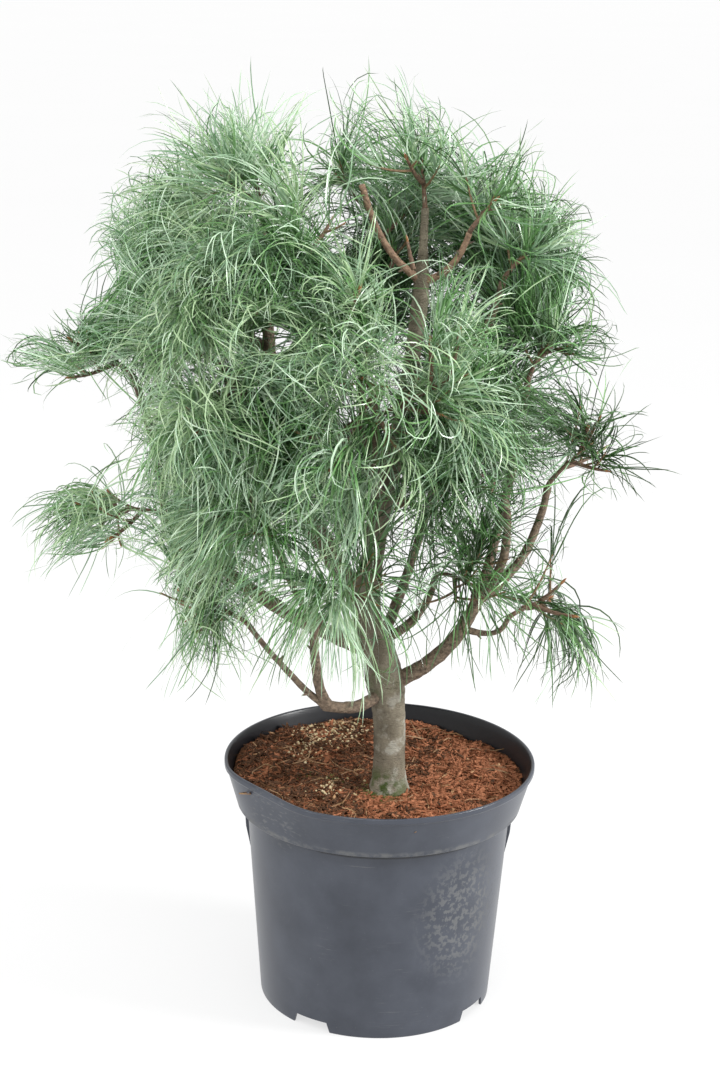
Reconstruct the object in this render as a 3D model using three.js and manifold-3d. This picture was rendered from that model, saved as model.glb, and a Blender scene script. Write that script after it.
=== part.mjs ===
// A young curly-needled white pine in a nursery pot.
// Millimetres, +Z up, origin at the middle of the pot's underside. The side seen in front faces -Y.
import * as THREE from "three";
import { mergeVertices } from "three/addons/utils/BufferGeometryUtils.js";
import Module from "manifold-3d";

const wasm = await Module();
wasm.setup();

// Gap kept between any two solids.
const clearance = 0.35;

// Nursery pot: a tapered body, a step out to a collar, and a thin lip. Its floor stands on a round foot,
// with a drain channel between the foot and the skirt.
const pot = {
  height: 208.7,
  lipRadius: 129.5,
  collarTopRadius: 127.6,
  collarFootRadius: 118.6,
  collarFoot: 171,
  bodyTopRadius: 110.5,
  baseRadius: 97.6,
  wall: 2.2,
  floorTop: 12,
  footRadius: 64,
  segments: 36,
};

// Four notches in the skirt let the drain channel out.
const notch = { count: 4, firstAngle: -122, width: 30, footWidth: 36, height: 9 };

// Two slim stiffening fins under the collar, at the pot's left and right.
const fin = { length: 62, depth: 3.6, thickness: 2.6 };

// A dent where the lip is pushed in at the front left.
const dent = { angle: -140, halfWidth: 30, depth: 8.6 };

// Root ball of bark compost, level under the trunk and uneven elsewhere.
const soil = { level: 193, roughness: 2.2, flatRadius: 26, radii: [104, 78, 50, 24] };

// Trunk and leader: height, sideways and front-to-back place, and radius at each station.
const trunkStations = [
  { z: 193, x: 8, y: -33, r: 17 },
  { z: 199, x: 8, y: -33, r: 14.8 },
  { z: 225, x: 8, y: -31.5, r: 13.2 },
  { z: 262, x: 7, y: -29.5, r: 13.2 },
  { z: 287, x: 3, y: -27, r: 14.6 },
  { z: 308, x: -2, y: -24, r: 12 },
  { z: 336, x: -13, y: -18, r: 10.8 },
  { z: 356, x: -15, y: -14, r: 11 },
  { z: 376, x: -11, y: -11, r: 9.2 },
  { z: 428, x: -4, y: -6, r: 8 },
  { z: 486, x: 9, y: 0, r: 7.2 },
  { z: 526, x: 16, y: 4, r: 6.6 },
  { z: 560, x: 20, y: 5, r: 6.2 },
  { z: 594, x: 23.5, y: 5, r: 6.6 },
  { z: 606, x: 24, y: 5.5, r: 4.6 },
  { z: 640, x: 25, y: 9, r: 3.4 },
  { z: 664, x: 25.5, y: 12, r: 3 },
];
const trunkSides = 10;

// Each limb leaves its parent at a share of the parent's length and bows away from a straight line.
const limbs = [
  { name: "left_stem", on: "trunk", at: 0.33, tip: [-100, -6, 652], bow: [-22, 6, -26], r: [9, 3.2] },
  { name: "leader_left", on: "trunk", at: 0.885, tip: [-24, -12, 686], bow: [-4, 0, -8], r: [3.8, 2.8] },
  { name: "leader_right", on: "trunk", at: 0.885, tip: [60, -6, 650], bow: [4, 0, -8], r: [3.8, 2.8] },
  { name: "bough_upper_left", on: "left_stem", at: 0.7, tip: [-148, 22, 616], bow: [-6, 4, -10], r: [3.6, 2.4] },
  { name: "bough_mid_left", on: "left_stem", at: 0.5, tip: [-128, -34, 544], bow: [-4, -6, -10], r: [3.8, 2.4] },
  { name: "bough_low_left", on: "trunk", at: 0.245, tip: [-176, -20, 420], bow: [-6, -6, -10], r: [7, 4.2] },
  { name: "bough_far_left", on: "bough_low_left", at: 1, tip: [-203, 2, 528], bow: [3, 4, -4], r: [3.8, 2.6] },
  { name: "low_arm", on: "trunk", at: 0.185, tip: [-45, -66, 279], bow: [4, -2, -7], r: [5.4, 4.2] },
  { name: "low_arm_rise", on: "low_arm", at: 1, tip: [-53, -70, 354], bow: [-5, -1, -3], r: [4, 3.5] },
  { name: "low_arm_left", on: "low_arm_rise", at: 1, tip: [-86, -84, 424], bow: [-2, -2, -5], r: [3.2, 2.3] },
  { name: "low_arm_right", on: "low_arm_rise", at: 1, tip: [-33, -82, 374], bow: [3, -1, -4], r: [3, 2.2] },
  { name: "low_arm_side", on: "low_arm", at: 1, tip: [-106, -68, 346], bow: [3, -2, -8], r: [2.8, 2] },
  { name: "bough_right", on: "trunk", at: 0.19, tip: [76, -32, 362], bow: [10, -3, -7], r: [6.8, 5] },
  { name: "right_inner", on: "bough_right", at: 1, tip: [92, -46, 452], bow: [12, -2, -3], r: [4.2, 2.8] },
  { name: "right_outer", on: "bough_right", at: 1, tip: [130, 0, 446], bow: [9, 0, -11], r: [4.2, 2.8] },
  { name: "right_low_twig", on: "bough_right", at: 0.74, tip: [100, -36, 345], bow: [6, -1, -9], r: [2.5, 1.8] },
  { name: "right_rise", on: "bough_right", at: 1, tip: [112, 22, 526], bow: [4, 8, -6], r: [4.2, 2.6] },
  { name: "bough_upper_right", on: "trunk", at: 0.7, tip: [88, 8, 610], bow: [12, 0, -12], r: [3.8, 2.6] },
  { name: "bough_mid_right", on: "trunk", at: 0.265, tip: [42, 6, 366], bow: [8, 2, -8], r: [4.2, 2.8] },
  { name: "bough_low_back", on: "trunk", at: 0.25, tip: [40, 64, 428], bow: [2, 12, -8], r: [4.8, 2.8] },
  { name: "back_left", on: "left_stem", at: 0.45, tip: [-116, 76, 556], bow: [-2, 8, -12], r: [3.6, 2.4] },
  { name: "back_low_left", on: "trunk", at: 0.36, tip: [-94, 72, 440], bow: [-6, 10, -14], r: [4.4, 2.6] },
  { name: "back_centre", on: "trunk", at: 0.5, tip: [-24, 98, 524], bow: [-4, 12, -14], r: [3.8, 2.6] },
  { name: "back_right", on: "trunk", at: 0.56, tip: [72, 78, 566], bow: [6, 10, -14], r: [4, 2.6] },
  { name: "front_left", on: "left_stem", at: 0.5, tip: [-110, -68, 552], bow: [-4, -8, -12], r: [3.4, 2.4] },
  { name: "front_bough", on: "trunk", at: 0.52, tip: [-8, -76, 542], bow: [-4, -10, -14], r: [3.8, 2.6] },
];
const limbSides = 6;
const limbStep = 32;

// Each mass of needles: the limb it grows from (from its tip, or part of the way along), the middle and
// radius of the ball it fills, its number of shoots, and how far its needles hang.
const masses = [
  { name: "needles_top_left", on: "leader_left", middle: [-38, -15, 724], radius: 69, shoots: 5, droop: 0.5 },
  { name: "needles_leader", on: "trunk", middle: [20, 12, 712], radius: 71, shoots: 5, droop: 0.5 },
  { name: "needles_top_right", on: "leader_right", middle: [84, -5, 680], radius: 69, shoots: 5, droop: 0.6 },
  { name: "needles_left_crown", on: "left_stem", middle: [-107, -5, 690], radius: 76, shoots: 5, droop: 0.7 },
  { name: "needles_left_fork", on: "left_stem", at: 0.74, middle: [-62, -62, 642], radius: 65, shoots: 5, droop: 1 },
  { name: "needles_upper_left", on: "bough_upper_left", middle: [-181, 20, 632], radius: 80, shoots: 5, droop: 1 },
  { name: "needles_far_left", on: "bough_far_left", middle: [-238, 5, 546], radius: 71, shoots: 5, droop: 0.8 },
  { name: "needles_mid_left", on: "bough_mid_left", middle: [-160, -42, 558], radius: 76, shoots: 5, droop: 1.1 },
  { name: "needles_low_left", on: "bough_low_left", middle: [-217, -15, 422], radius: 72, shoots: 5, droop: 1 },
  { name: "needles_arm_left", on: "low_arm_left", middle: [-104, -98, 446], radius: 78, shoots: 5, droop: 1.4 },
  { name: "needles_arm_right", on: "low_arm_right", middle: [-30, -96, 384], radius: 62, shoots: 5, droop: 1.3 },
  { name: "needles_arm_side", on: "low_arm_side", middle: [-140, -66, 362], radius: 70, shoots: 5, droop: 1.2 },
  { name: "needles_right_inner", on: "right_inner", middle: [68, -64, 474], radius: 69, shoots: 5, droop: 1.2 },
  { name: "needles_right_far", on: "right_outer", middle: [156, 0, 474], radius: 69, shoots: 5, droop: 0.9 },
  { name: "needles_right_low", on: "right_low_twig", middle: [122, -27, 354], radius: 74, shoots: 5, droop: 1.4 },
  { name: "needles_right", on: "right_rise", middle: [122, 24, 552], radius: 76, shoots: 5, droop: 0.9 },
  { name: "needles_upper_right", on: "bough_upper_right", middle: [110, 10, 636], radius: 76, shoots: 5, droop: 0.8 },
  { name: "needles_mid_right", on: "bough_mid_right", middle: [60, -8, 366], radius: 70, shoots: 5, droop: 1.5 },
  { name: "needles_low_back", on: "bough_low_back", at: 0.86, middle: [0, 84, 414], radius: 74, shoots: 5, droop: 1.2 },
  { name: "needles_low_back_right", on: "bough_low_back", middle: [80, 88, 462], radius: 76, shoots: 5, droop: 1.1 },
  { name: "needles_back_left", on: "back_left", middle: [-140, 106, 582], radius: 82, shoots: 5, droop: 1 },
  { name: "needles_back_low_left", on: "back_low_left", middle: [-120, 96, 466], radius: 78, shoots: 5, droop: 1.2 },
  { name: "needles_back_centre", on: "back_centre", middle: [-28, 130, 546], radius: 82, shoots: 5, droop: 1 },
  { name: "needles_back_right", on: "back_right", middle: [88, 106, 592], radius: 82, shoots: 5, droop: 1 },
  { name: "needles_back_top", on: "trunk", at: 0.8, middle: [-20, 88, 656], radius: 82, shoots: 5, droop: 0.8 },
  { name: "needles_front_left", on: "front_left", middle: [-130, -98, 516], radius: 71, shoots: 5, droop: 1.3 },
  { name: "needles_front_upper_left", on: "front_left", at: 0.8, middle: [-108, -92, 602], radius: 73, shoots: 5, droop: 1.1 },
  { name: "needles_front_centre", on: "front_bough", at: 0.9, middle: [-33, -112, 588], radius: 73, shoots: 5, droop: 1.2 },
  { name: "needles_front_right", on: "front_bough", at: 0.8, middle: [42, -102, 552], radius: 71, shoots: 5, droop: 1.2 },
  { name: "needles_front_low", on: "front_bough", middle: [-35, -116, 494], radius: 71, shoots: 5, droop: 1.4 },
  { name: "needles_upper_front", on: "trunk", at: 0.8, middle: [16, -56, 645], radius: 67, shoots: 5, droop: 0.9 },
];
const crownMiddle = [-20, 0, 520];
const eggStretch = 0.28;
const shoot = { rootRadius: 2.1, tipRadius: 1.1, spread: 54, length: 0.73 };
const needle = {
  lengths: [98, 88, 77, 64],
  width: 16,
  thickness: 3.5,
  perShoot: 4.3,
  tries: 40,
  lowest: 232,
};
const goldenAngle = Math.PI * (3 - Math.sqrt(5));

const colours = {
  pot: 0x33373d,
  soil: 0x5a3423,
  bark: 0x6d6152,
  needles: 0x4d7d5f,
};

const vec = (a) => new THREE.Vector3(...a);
const radians = THREE.MathUtils.degToRad;
const middles = masses.map((mass) => vec(mass.middle));

// A repeatable random sequence from 0 to 1.
function randomFrom(seed) {
  let state = seed >>> 0;
  return () => {
    state = (Math.imul(state, 1664525) + 1013904223) >>> 0;
    return state / 4294967296;
  };
}

// Closed meshes and solids
function toSolid(geometry) {
  const bare = geometry.clone();
  bare.deleteAttribute("normal");
  bare.deleteAttribute("uv");
  const merged = mergeVertices(bare, 1e-3);
  return new wasm.Manifold(
    new wasm.Mesh({
      numProp: 3,
      vertProperties: new Float32Array(merged.attributes.position.array),
      triVerts: new Uint32Array(merged.index.array),
    }),
  );
}

function toGeometry(solid) {
  const mesh = solid.getMesh();
  const geometry = new THREE.BufferGeometry();
  geometry.setAttribute("position", new THREE.BufferAttribute(mesh.vertProperties, 3));
  geometry.setIndex(new THREE.BufferAttribute(mesh.triVerts, 1));
  geometry.computeVertexNormals();
  return geometry;
}

// The largest body of a solid, without loose scraps or sealed hollows.
function largest(solid) {
  return solid.decompose().reduce((best, body) => (body.volume() > best.volume() ? body : best));
}

// Close corners are welded, which can part two pieces that only just touched.
function mainBody(solid) {
  return largest(toSolid(toGeometry(largest(solid))));
}

function indexed(points, triangles) {
  const geometry = new THREE.BufferGeometry();
  geometry.setAttribute("position", new THREE.Float32BufferAttribute(points.flatMap((p) => p.toArray()), 3));
  geometry.setIndex(triangles.flat());
  return geometry;
}

// A tapering tube through points, with a flat end at both ends.
function taperedTube(points, radii, sides) {
  const rings = [];
  const tangents = points.map((p, i) => {
    const before = points[Math.max(i - 1, 0)];
    const after = points[Math.min(i + 1, points.length - 1)];
    return after.clone().sub(before).normalize();
  });
  let across = new THREE.Vector3(1, 0, 0).cross(tangents[0]);
  if (across.length() < 0.2) across = new THREE.Vector3(0, 1, 0).cross(tangents[0]);
  points.forEach((p, i) => {
    across.addScaledVector(tangents[i], -across.dot(tangents[i])).normalize();
    const third = tangents[i].clone().cross(across);
    for (let k = 0; k < sides; k++) {
      const turn = (2 * Math.PI * k) / sides;
      const offset = across.clone().multiplyScalar(Math.cos(turn)).addScaledVector(third, Math.sin(turn));
      rings.push(p.clone().addScaledVector(offset, radii[i]));
    }
  });
  const triangles = [];
  const last = (points.length - 1) * sides;
  for (let i = 0; i < points.length - 1; i++) {
    for (let k = 0; k < sides; k++) {
      const a = i * sides + k;
      const b = i * sides + ((k + 1) % sides);
      triangles.push([a, b, b + sides], [a, b + sides, a + sides]);
    }
  }
  for (let k = 1; k < sides - 1; k++) {
    triangles.push([0, k + 1, k], [last, last + k, last + k + 1]);
  }
  return indexed(rings, triangles);
}

// Pot and soil
function inDent(x, y, z) {
  const angle = THREE.MathUtils.radToDeg(Math.atan2(y, x));
  const away = Math.abs(((angle - dent.angle + 540) % 360) - 180) / dent.halfWidth;
  if (away >= 1 || z < pot.collarFoot) return 0;
  const rise = (z - pot.collarFoot) / (pot.height - pot.collarFoot);
  return dent.depth * rise * Math.cos((away * Math.PI) / 2) ** 2;
}

function pushIn(geometry) {
  const place = geometry.attributes.position;
  for (let i = 0; i < place.count; i++) {
    const [x, y, z] = [place.getX(i), place.getY(i), place.getZ(i)];
    const radius = Math.hypot(x, y);
    if (radius < 1) continue;
    const share = 1 - (inDent(x, y, z) * (radius / pot.lipRadius)) / radius;
    place.setXY(i, x * share, y * share);
  }
  return geometry;
}

// Turns a profile of [radius, height] pairs round the Z axis.
function lathe(profile) {
  const geometry = new THREE.LatheGeometry(
    profile.map(([r, z]) => new THREE.Vector2(r, z)),
    pot.segments,
  );
  return geometry.rotateX(Math.PI / 2);
}

function potShell() {
  const { height, lipRadius, collarTopRadius, collarFootRadius, collarFoot, bodyTopRadius, baseRadius } = pot;
  const { wall, floorTop, footRadius } = pot;
  return lathe([
    [0, 0],
    [footRadius, 0],
    [footRadius + 3, floorTop - wall],
    [baseRadius - wall + 0.7, floorTop - wall],
    [baseRadius - wall, 0],
    [baseRadius, 0],
    [bodyTopRadius, collarFoot + 1],
    [collarFootRadius - 0.8, collarFoot],
    [collarFootRadius, collarFoot + 0.8],
    [collarTopRadius, height - 5.5],
    [lipRadius, height - 4],
    [lipRadius, height - 1],
    [lipRadius - 1, height],
    [lipRadius - 2.6, height],
    [collarTopRadius - wall, height - 4],
    [collarFootRadius - wall, collarFoot + wall + 0.5],
    [bodyTopRadius - wall, collarFoot + wall],
    [baseRadius - wall + 0.9, floorTop],
    [footRadius + 1.5, floorTop],
    [footRadius - 1.5, wall],
    [0, wall],
  ]);
}

function notchCutter(angle) {
  const outline = new THREE.Shape([
    new THREE.Vector2(-notch.footWidth / 2, -1),
    new THREE.Vector2(notch.footWidth / 2, -1),
    new THREE.Vector2(notch.width / 2, notch.height),
    new THREE.Vector2(-notch.width / 2, notch.height),
  ]);
  const cutter = new THREE.ExtrudeGeometry(outline, { depth: 20, bevelEnabled: false });
  cutter.rotateX(Math.PI / 2).rotateZ(Math.PI / 2);
  cutter.translate(pot.baseRadius - 12, 0, 0);
  return cutter.rotateZ(radians(angle));
}

function stiffeningFin(side) {
  const top = pot.collarFoot + 0.6;
  const outline = new THREE.Shape([
    new THREE.Vector2(-1, 0),
    new THREE.Vector2(fin.depth, 0),
    new THREE.Vector2(fin.depth, -fin.length * 0.45),
    new THREE.Vector2(-1, -fin.length),
  ]);
  const shape = new THREE.ExtrudeGeometry(outline, { depth: fin.thickness, bevelEnabled: false });
  shape.translate(0, 0, -fin.thickness / 2).rotateX(Math.PI / 2);
  const slope = Math.atan((pot.bodyTopRadius - pot.baseRadius) / pot.collarFoot);
  shape.rotateY(slope).translate(pot.bodyTopRadius - 0.6, 0, top);
  return side < 0 ? shape.rotateZ(Math.PI) : shape;
}

function makePot() {
  let solid = toSolid(pushIn(potShell()));
  for (let i = 0; i < notch.count; i++) {
    solid = solid.subtract(toSolid(notchCutter(notch.firstAngle + (360 / notch.count) * i)));
  }
  for (const side of [-1, 1]) {
    solid = solid.add(toSolid(stiffeningFin(side)));
  }
  return mainBody(solid);
}

// Height of the compost's surface: highest against the lip at the left, level at the trunk's foot.
function soilHeight(x, y) {
  const foot = trunkStations[0];
  const fromTrunk = Math.hypot(x - foot.x, y - foot.y);
  const ease = THREE.MathUtils.smoothstep(fromTrunk, soil.flatRadius, soil.flatRadius * 2.2);
  const lumps = Math.sin(x * 0.071 + 1.3) * Math.cos(y * 0.083 - 0.4) + Math.sin(x * 0.031 - y * 0.047);
  const tilt = -x * 0.035;
  return soil.level + ease * (soil.roughness * lumps + tilt);
}

// Inside radius of the collar at a height.
function collarInside(z) {
  const foot = pot.collarFoot + pot.wall + 0.5;
  const rise = (z - foot) / (pot.height - 4 - foot);
  return THREE.MathUtils.lerp(pot.collarFootRadius, pot.collarTopRadius, rise) - pot.wall;
}

function makeSoil() {
  const { collarFootRadius, collarFoot, bodyTopRadius, baseRadius, wall, floorTop, footRadius } = pot;
  const gap = clearance + 0.8;
  const edge = collarInside(soil.level) - gap;
  const geometry = lathe([
    [0, wall + gap],
    [footRadius - 1.5 - gap, wall + gap],
    [footRadius + 1.5 - gap, floorTop + gap],
    [baseRadius - wall - gap + 0.5, floorTop + gap],
    [bodyTopRadius - wall - gap, collarFoot + wall + gap],
    [collarFootRadius - wall - gap - 0.6, collarFoot + wall + gap + 0.5],
    [edge, soil.level],
    ...soil.radii.map((r) => [r, soil.level]),
    [0, soil.level],
  ]);
  const place = geometry.attributes.position;
  for (let i = 0; i < place.count; i++) {
    if (place.getZ(i) < soil.level - 0.5) continue;
    const [x, y] = [place.getX(i), place.getY(i)];
    const z = soilHeight(x, y);
    const radius = Math.hypot(x, y);
    const share = radius > edge - 0.1 ? (collarInside(z) - gap) / radius : 1;
    place.setXYZ(i, x * share, y * share, z);
  }
  return mainBody(toSolid(pushIn(geometry)));
}

// Trunk and limbs. A limb's path is kept with its radii, because the needles must clear it.
const paths = new Map();
const stems = [];

function trunkPath() {
  const points = trunkStations.map((s) => new THREE.Vector3(s.x, s.y, s.z + (s === trunkStations[0] ? clearance : 0)));
  return { points, radii: trunkStations.map((s) => s.r) };
}

// A place at a share of the way along a path, by length.
function along({ points, radii }, share) {
  const lengths = points.slice(1).map((p, i) => p.distanceTo(points[i]));
  let left = share * lengths.reduce((sum, l) => sum + l, 0);
  for (let i = 0; i < lengths.length; i++) {
    if (left <= lengths[i] || i === lengths.length - 1) {
      const t = Math.min(left / lengths[i], 1);
      const point = points[i].clone().lerp(points[i + 1], t);
      const heading = points[i + 1].clone().sub(points[i]).normalize();
      return { point, heading, radius: THREE.MathUtils.lerp(radii[i], radii[i + 1], t) };
    }
    left -= lengths[i];
  }
}

function limbPath(limb) {
  const root = along(paths.get(limb.on), limb.at);
  const start = root.point.clone();
  if (limb.at === 1) start.addScaledVector(root.heading, -limb.r[0] * 0.5);
  const tip = vec(limb.tip);
  const middle = start.clone().lerp(tip, 0.5).addScaledVector(vec(limb.bow), 2);
  const curve = new THREE.QuadraticBezierCurve3(start, middle, tip);
  const steps = Math.max(3, Math.round(curve.getLength() / limbStep));
  const points = curve.getSpacedPoints(steps);
  const radii = points.map((_, i) => THREE.MathUtils.lerp(limb.r[0], limb.r[1], i / steps));
  return { points, radii };
}

const swollen = (path, by) => path.radii.map((r) => r + by);

function tubeSolid(path, sides, swell = 0) {
  return toSolid(taperedTube(path.points, swollen(path, swell), sides));
}

// Clears a solid of the limbs it meets. Each cutter is a little thicker and longer than its limb.
function cutterOf(name) {
  const path = paths.get(name);
  const points = path.points.map((p) => p.clone());
  const end = points.length - 1;
  const outward = points[end].clone().sub(points[end - 1]).normalize();
  points[end].addScaledVector(outward, clearance);
  const sides = name === "trunk" ? trunkSides : limbSides;
  return tubeSolid({ points, radii: path.radii }, sides, clearance * 1.2);
}

function clearedOf(solid, names) {
  return mainBody(names.reduce((left, name) => left.subtract(cutterOf(name)), solid));
}

// Spaces: a mass fills an egg that is blunt towards the middle of the crown, up to the planes half way
// to its neighbours' middles.
function insideSpace(point, own, margin) {
  const middle = middles[own];
  const offset = point.clone().sub(middle);
  const outward = middle.clone().sub(vec(crownMiddle)).normalize();
  const facing = offset.dot(outward) / Math.max(offset.length(), 1);
  const reach = masses[own].radius * (1 + eggStretch * (1 - facing));
  if (offset.length() > reach - margin) return false;
  return middles.every((other, i) => {
    if (i === own) return true;
    const across = other.clone().sub(middle);
    const half = across.length() / 2;
    return offset.dot(across.normalize()) < half - margin;
  });
}

// Shortest distance between the straight pieces a-b and c-d.
function pieceDistance(a, b, c, d) {
  const u = b.clone().sub(a);
  const v = d.clone().sub(c);
  const w = a.clone().sub(c);
  const [uu, uv, vv, uw, vw] = [u.dot(u), u.dot(v), v.dot(v), u.dot(w), v.dot(w)];
  const den = uu * vv - uv * uv;
  const clamp = (t) => Math.min(Math.max(t, 0), 1);
  const s = den > 1e-9 ? clamp((uv * vw - vv * uw) / den) : 0;
  const t = clamp((uv * s + vw) / vv);
  const nearest = uu > 1e-9 ? clamp((uv * t - uw) / uu) : 0;
  return { gap: a.clone().addScaledVector(u, nearest).distanceTo(c.clone().addScaledVector(v, t)), t };
}

// The pieces of limbs, and of the other masses' stems, that come near a mass.
function obstaclesNear(index) {
  const middle = middles[index];
  const near = masses[index].radius * (1 + 2 * eggStretch) + 20;
  const pieces = [];
  for (const path of [...paths.values(), ...stems.filter((_, i) => i !== index)]) {
    for (let i = 0; i < path.points.length - 1; i++) {
      const [a, b] = [path.points[i], path.points[i + 1]];
      if (pieceDistance(middle, middle, a, b).gap < near) {
        pieces.push({ a, b, radius: Math.max(path.radii[i], path.radii[i + 1]) });
      }
    }
  }
  return pieces;
}

function clearOf(obstacles, points, reach) {
  return obstacles.every(({ a, b, radius }) => {
    for (let k = 0; k < points.length - 1; k++) {
      if (pieceDistance(points[k], points[k + 1], a, b).gap < radius + reach + clearance) return false;
    }
    return true;
  });
}

// Whether a spine stays a given distance from others.
function apartFrom(spines, points, distance) {
  for (const spine of spines) {
    for (let i = 0; i < spine.length - 1; i++) {
      for (let k = 0; k < points.length - 1; k++) {
        if (pieceDistance(points[k], points[k + 1], spine[i], spine[i + 1]).gap < distance) return false;
      }
    }
  }
  return true;
}

// A direction at an angle from an axis, turned round it.
function leaning(axis, angle, turn) {
  const across = new THREE.Vector3(0, 0, 1).cross(axis);
  if (across.length() < 0.1) across.set(1, 0, 0);
  across.normalize();
  const third = axis.clone().cross(across);
  return axis
    .clone()
    .multiplyScalar(Math.cos(angle))
    .addScaledVector(across, Math.sin(angle) * Math.cos(turn))
    .addScaledVector(third, Math.sin(angle) * Math.sin(turn));
}

// The stem of a mass, from its limb to beyond the middle of its space.
function growStem(mass, index) {
  const root = along(paths.get(mass.on), mass.at ?? 1);
  const onSide = mass.at !== undefined;
  const start = onSide ? root.point.clone() : root.point.clone().addScaledVector(root.heading, clearance);
  const heading = middles[index].clone().sub(start).normalize();
  const knee = start.clone().addScaledVector(onSide ? heading : root.heading, 8);
  const tip = middles[index].clone().addScaledVector(heading, mass.radius * 0.3);
  const { rootRadius, tipRadius } = shoot;
  return { points: [start, knee, tip], radii: [rootRadius, rootRadius * 0.9, tipRadius] };
}

// The shoots that branch from a stem by a seeded rule.
function growShoots(mass, index, obstacles) {
  const random = randomFrom(1000 + index * 77);
  const [, knee, tip] = stems[index].points;
  const heading = tip.clone().sub(knee).normalize();
  const shoots = [stems[index]];
  for (let i = 1; i < mass.shoots; i++) {
    const from = 0.1 + (0.8 * (i - 0.5)) / (mass.shoots - 1);
    const spread = radians(shoot.spread * (0.8 + 0.4 * random()));
    const way = leaning(heading, spread, goldenAngle * i * 2 + random());
    way.z += 0.2;
    way.normalize();
    const base = knee.clone().lerp(tip, from);
    const end = base.clone().addScaledVector(way, mass.radius * shoot.length * (0.85 + 0.3 * random()));
    if (insideSpace(end, index, shoot.rootRadius) && clearOf(obstacles, [base, end], 2)) {
      shoots.push({ points: [base, end], radii: [shoot.rootRadius * 0.9, shoot.tipRadius] });
    }
  }
  return shoots;
}

// The curve of one needle: it leaves its shoot at an angle, then hangs and curls.
function needleCurve(start, axis, angle, turn, length, droop, curl) {
  const steps = 6;
  const way = leaning(axis, angle, turn);
  const points = [start.clone()];
  for (let i = 0; i < steps; i++) {
    const t = (i + 0.5) / steps;
    const bend = curl.clone().cross(way).multiplyScalar(1 / steps);
    way.add(bend);
    way.z -= (droop * (0.5 + t)) / steps;
    way.normalize();
    points.push(points[i].clone().addScaledVector(way, length / steps));
  }
  return points;
}

// A spray of needles as one blade: three-sided, widest where it bends, pointed at both ends.
function needleBlade(curve, roll) {
  const [root, bend, tip] = [curve[0], curve[3], curve[6]];
  const along = tip.clone().sub(root).normalize();
  const side = along.clone().cross(new THREE.Vector3(0, 0, 1));
  if (side.length() < 0.2) side.set(1, 0, 0);
  side.normalize().applyAxisAngle(along, roll);
  const ridge = side.clone().cross(along).normalize();
  const points = [
    root,
    bend.clone().addScaledVector(side, needle.width / 2),
    bend.clone().addScaledVector(ridge, needle.thickness),
    bend.clone().addScaledVector(side, -needle.width / 2),
    tip,
  ];
  const triangles = [];
  for (let k = 0; k < 3; k++) {
    const n = (k + 1) % 3;
    triangles.push([0, 1 + k, 1 + n], [1 + k, 4, 1 + n]);
  }
  return { points, triangles };
}

// Every blade a shoot could bear inside the mass's space, each as long as the space allows.
function possibleBlades(path, index, random) {
  const found = [];
  const wave = leaning(new THREE.Vector3(0, 0, 1), radians(80), random() * 2 * Math.PI);
  for (let k = 0; k < needle.tries; k++) {
    const s = 0.3 + 0.7 * random();
    const { point, heading } = along(path, s);
    const angle = radians(72 - 40 * s + 14 * (random() - 0.5));
    const turn = goldenAngle * k + random() * 0.6;
    const curl = wave.clone().multiplyScalar(0.9 * (random() - 0.35));
    const roll = Math.PI * random();
    for (const length of needle.lengths) {
      const curve = needleCurve(point, heading, angle, turn, length, masses[index].droop, curl);
      const blade = needleBlade(curve, roll);
      if (!blade.points.every((p) => p.z > needle.lowest && insideSpace(p, index, clearance))) continue;
      found.push({ ...blade, spine: [curve[1], curve[2], curve[4], curve[6]] });
      break;
    }
  }
  return found;
}

// Blades are added one at a time, each where the mass is still emptiest.
function growNeedles(mass, index, shoots, obstacles) {
  const random = randomFrom(5000 + index * 131);
  const blades = [];
  const shootSpines = shoots.map(({ points }) => points);
  const emptiness = ({ spine }) => {
    return blades.reduce((least, blade) => {
      const tips = blade.spine[3].distanceTo(spine[3]);
      const middle = blade.spine[2].distanceTo(spine[2]);
      return Math.min(least, tips + middle);
    }, 1000);
  };
  shoots.forEach((path, i) => {
    const possible = possibleBlades(path, index, random);
    const wanted = Math.round(needle.perShoot * (i === 0 ? 1.3 : 1) + 0.8 * (random() - 0.5));
    for (let made = 0; made < wanted; made++) {
      possible.sort((a, b) => emptiness(b) - emptiness(a));
      const next = possible.findIndex(({ spine }) => {
        return (
          apartFrom(blades.map((blade) => blade.spine), spine, needle.width * 0.5) &&
          apartFrom(shootSpines, spine.slice(1), needle.width * 0.5) &&
          clearOf(obstacles, spine, needle.width / 2)
        );
      });
      if (next < 0) break;
      blades.push(...possible.splice(next, 1));
    }
  });
  return blades.map(({ points, triangles }) => indexed(points, triangles));
}

function makeMass(mass, index) {
  const obstacles = obstaclesNear(index);
  const shoots = growShoots(mass, index, obstacles);
  let solid = null;
  for (const { points, radii } of shoots) {
    const twig = toSolid(taperedTube(points, radii, 3));
    solid = solid ? solid.add(twig) : twig;
  }
  for (const blade of growNeedles(mass, index, shoots, obstacles)) {
    solid = solid.add(toSolid(blade));
  }
  return clearedOf(solid, [...paths.keys()]);
}

// The assembly
function materialOf(colour, roughness) {
  return new THREE.MeshStandardMaterial({ color: colour, roughness, metalness: 0 });
}

const materials = {
  pot: materialOf(colours.pot, 0.45),
  soil: materialOf(colours.soil, 0.95),
  bark: materialOf(colours.bark, 0.85),
  needles: materialOf(colours.needles, 0.6),
};

const tree = new THREE.Group();
tree.name = "potted_pine";

function addNode(name, solid, material) {
  const mesh = new THREE.Mesh(toGeometry(solid), material);
  mesh.name = name;
  tree.add(mesh);
}

addNode("pot", makePot(), materials.pot);
addNode("soil", makeSoil(), materials.soil);

paths.set("trunk", trunkPath());
addNode("trunk", tubeSolid(paths.get("trunk"), trunkSides), materials.bark);
for (const limb of limbs) {
  const path = limbPath(limb);
  addNode(limb.name, clearedOf(tubeSolid(path, limbSides), [...paths.keys()]), materials.bark);
  paths.set(limb.name, path);
}

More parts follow.
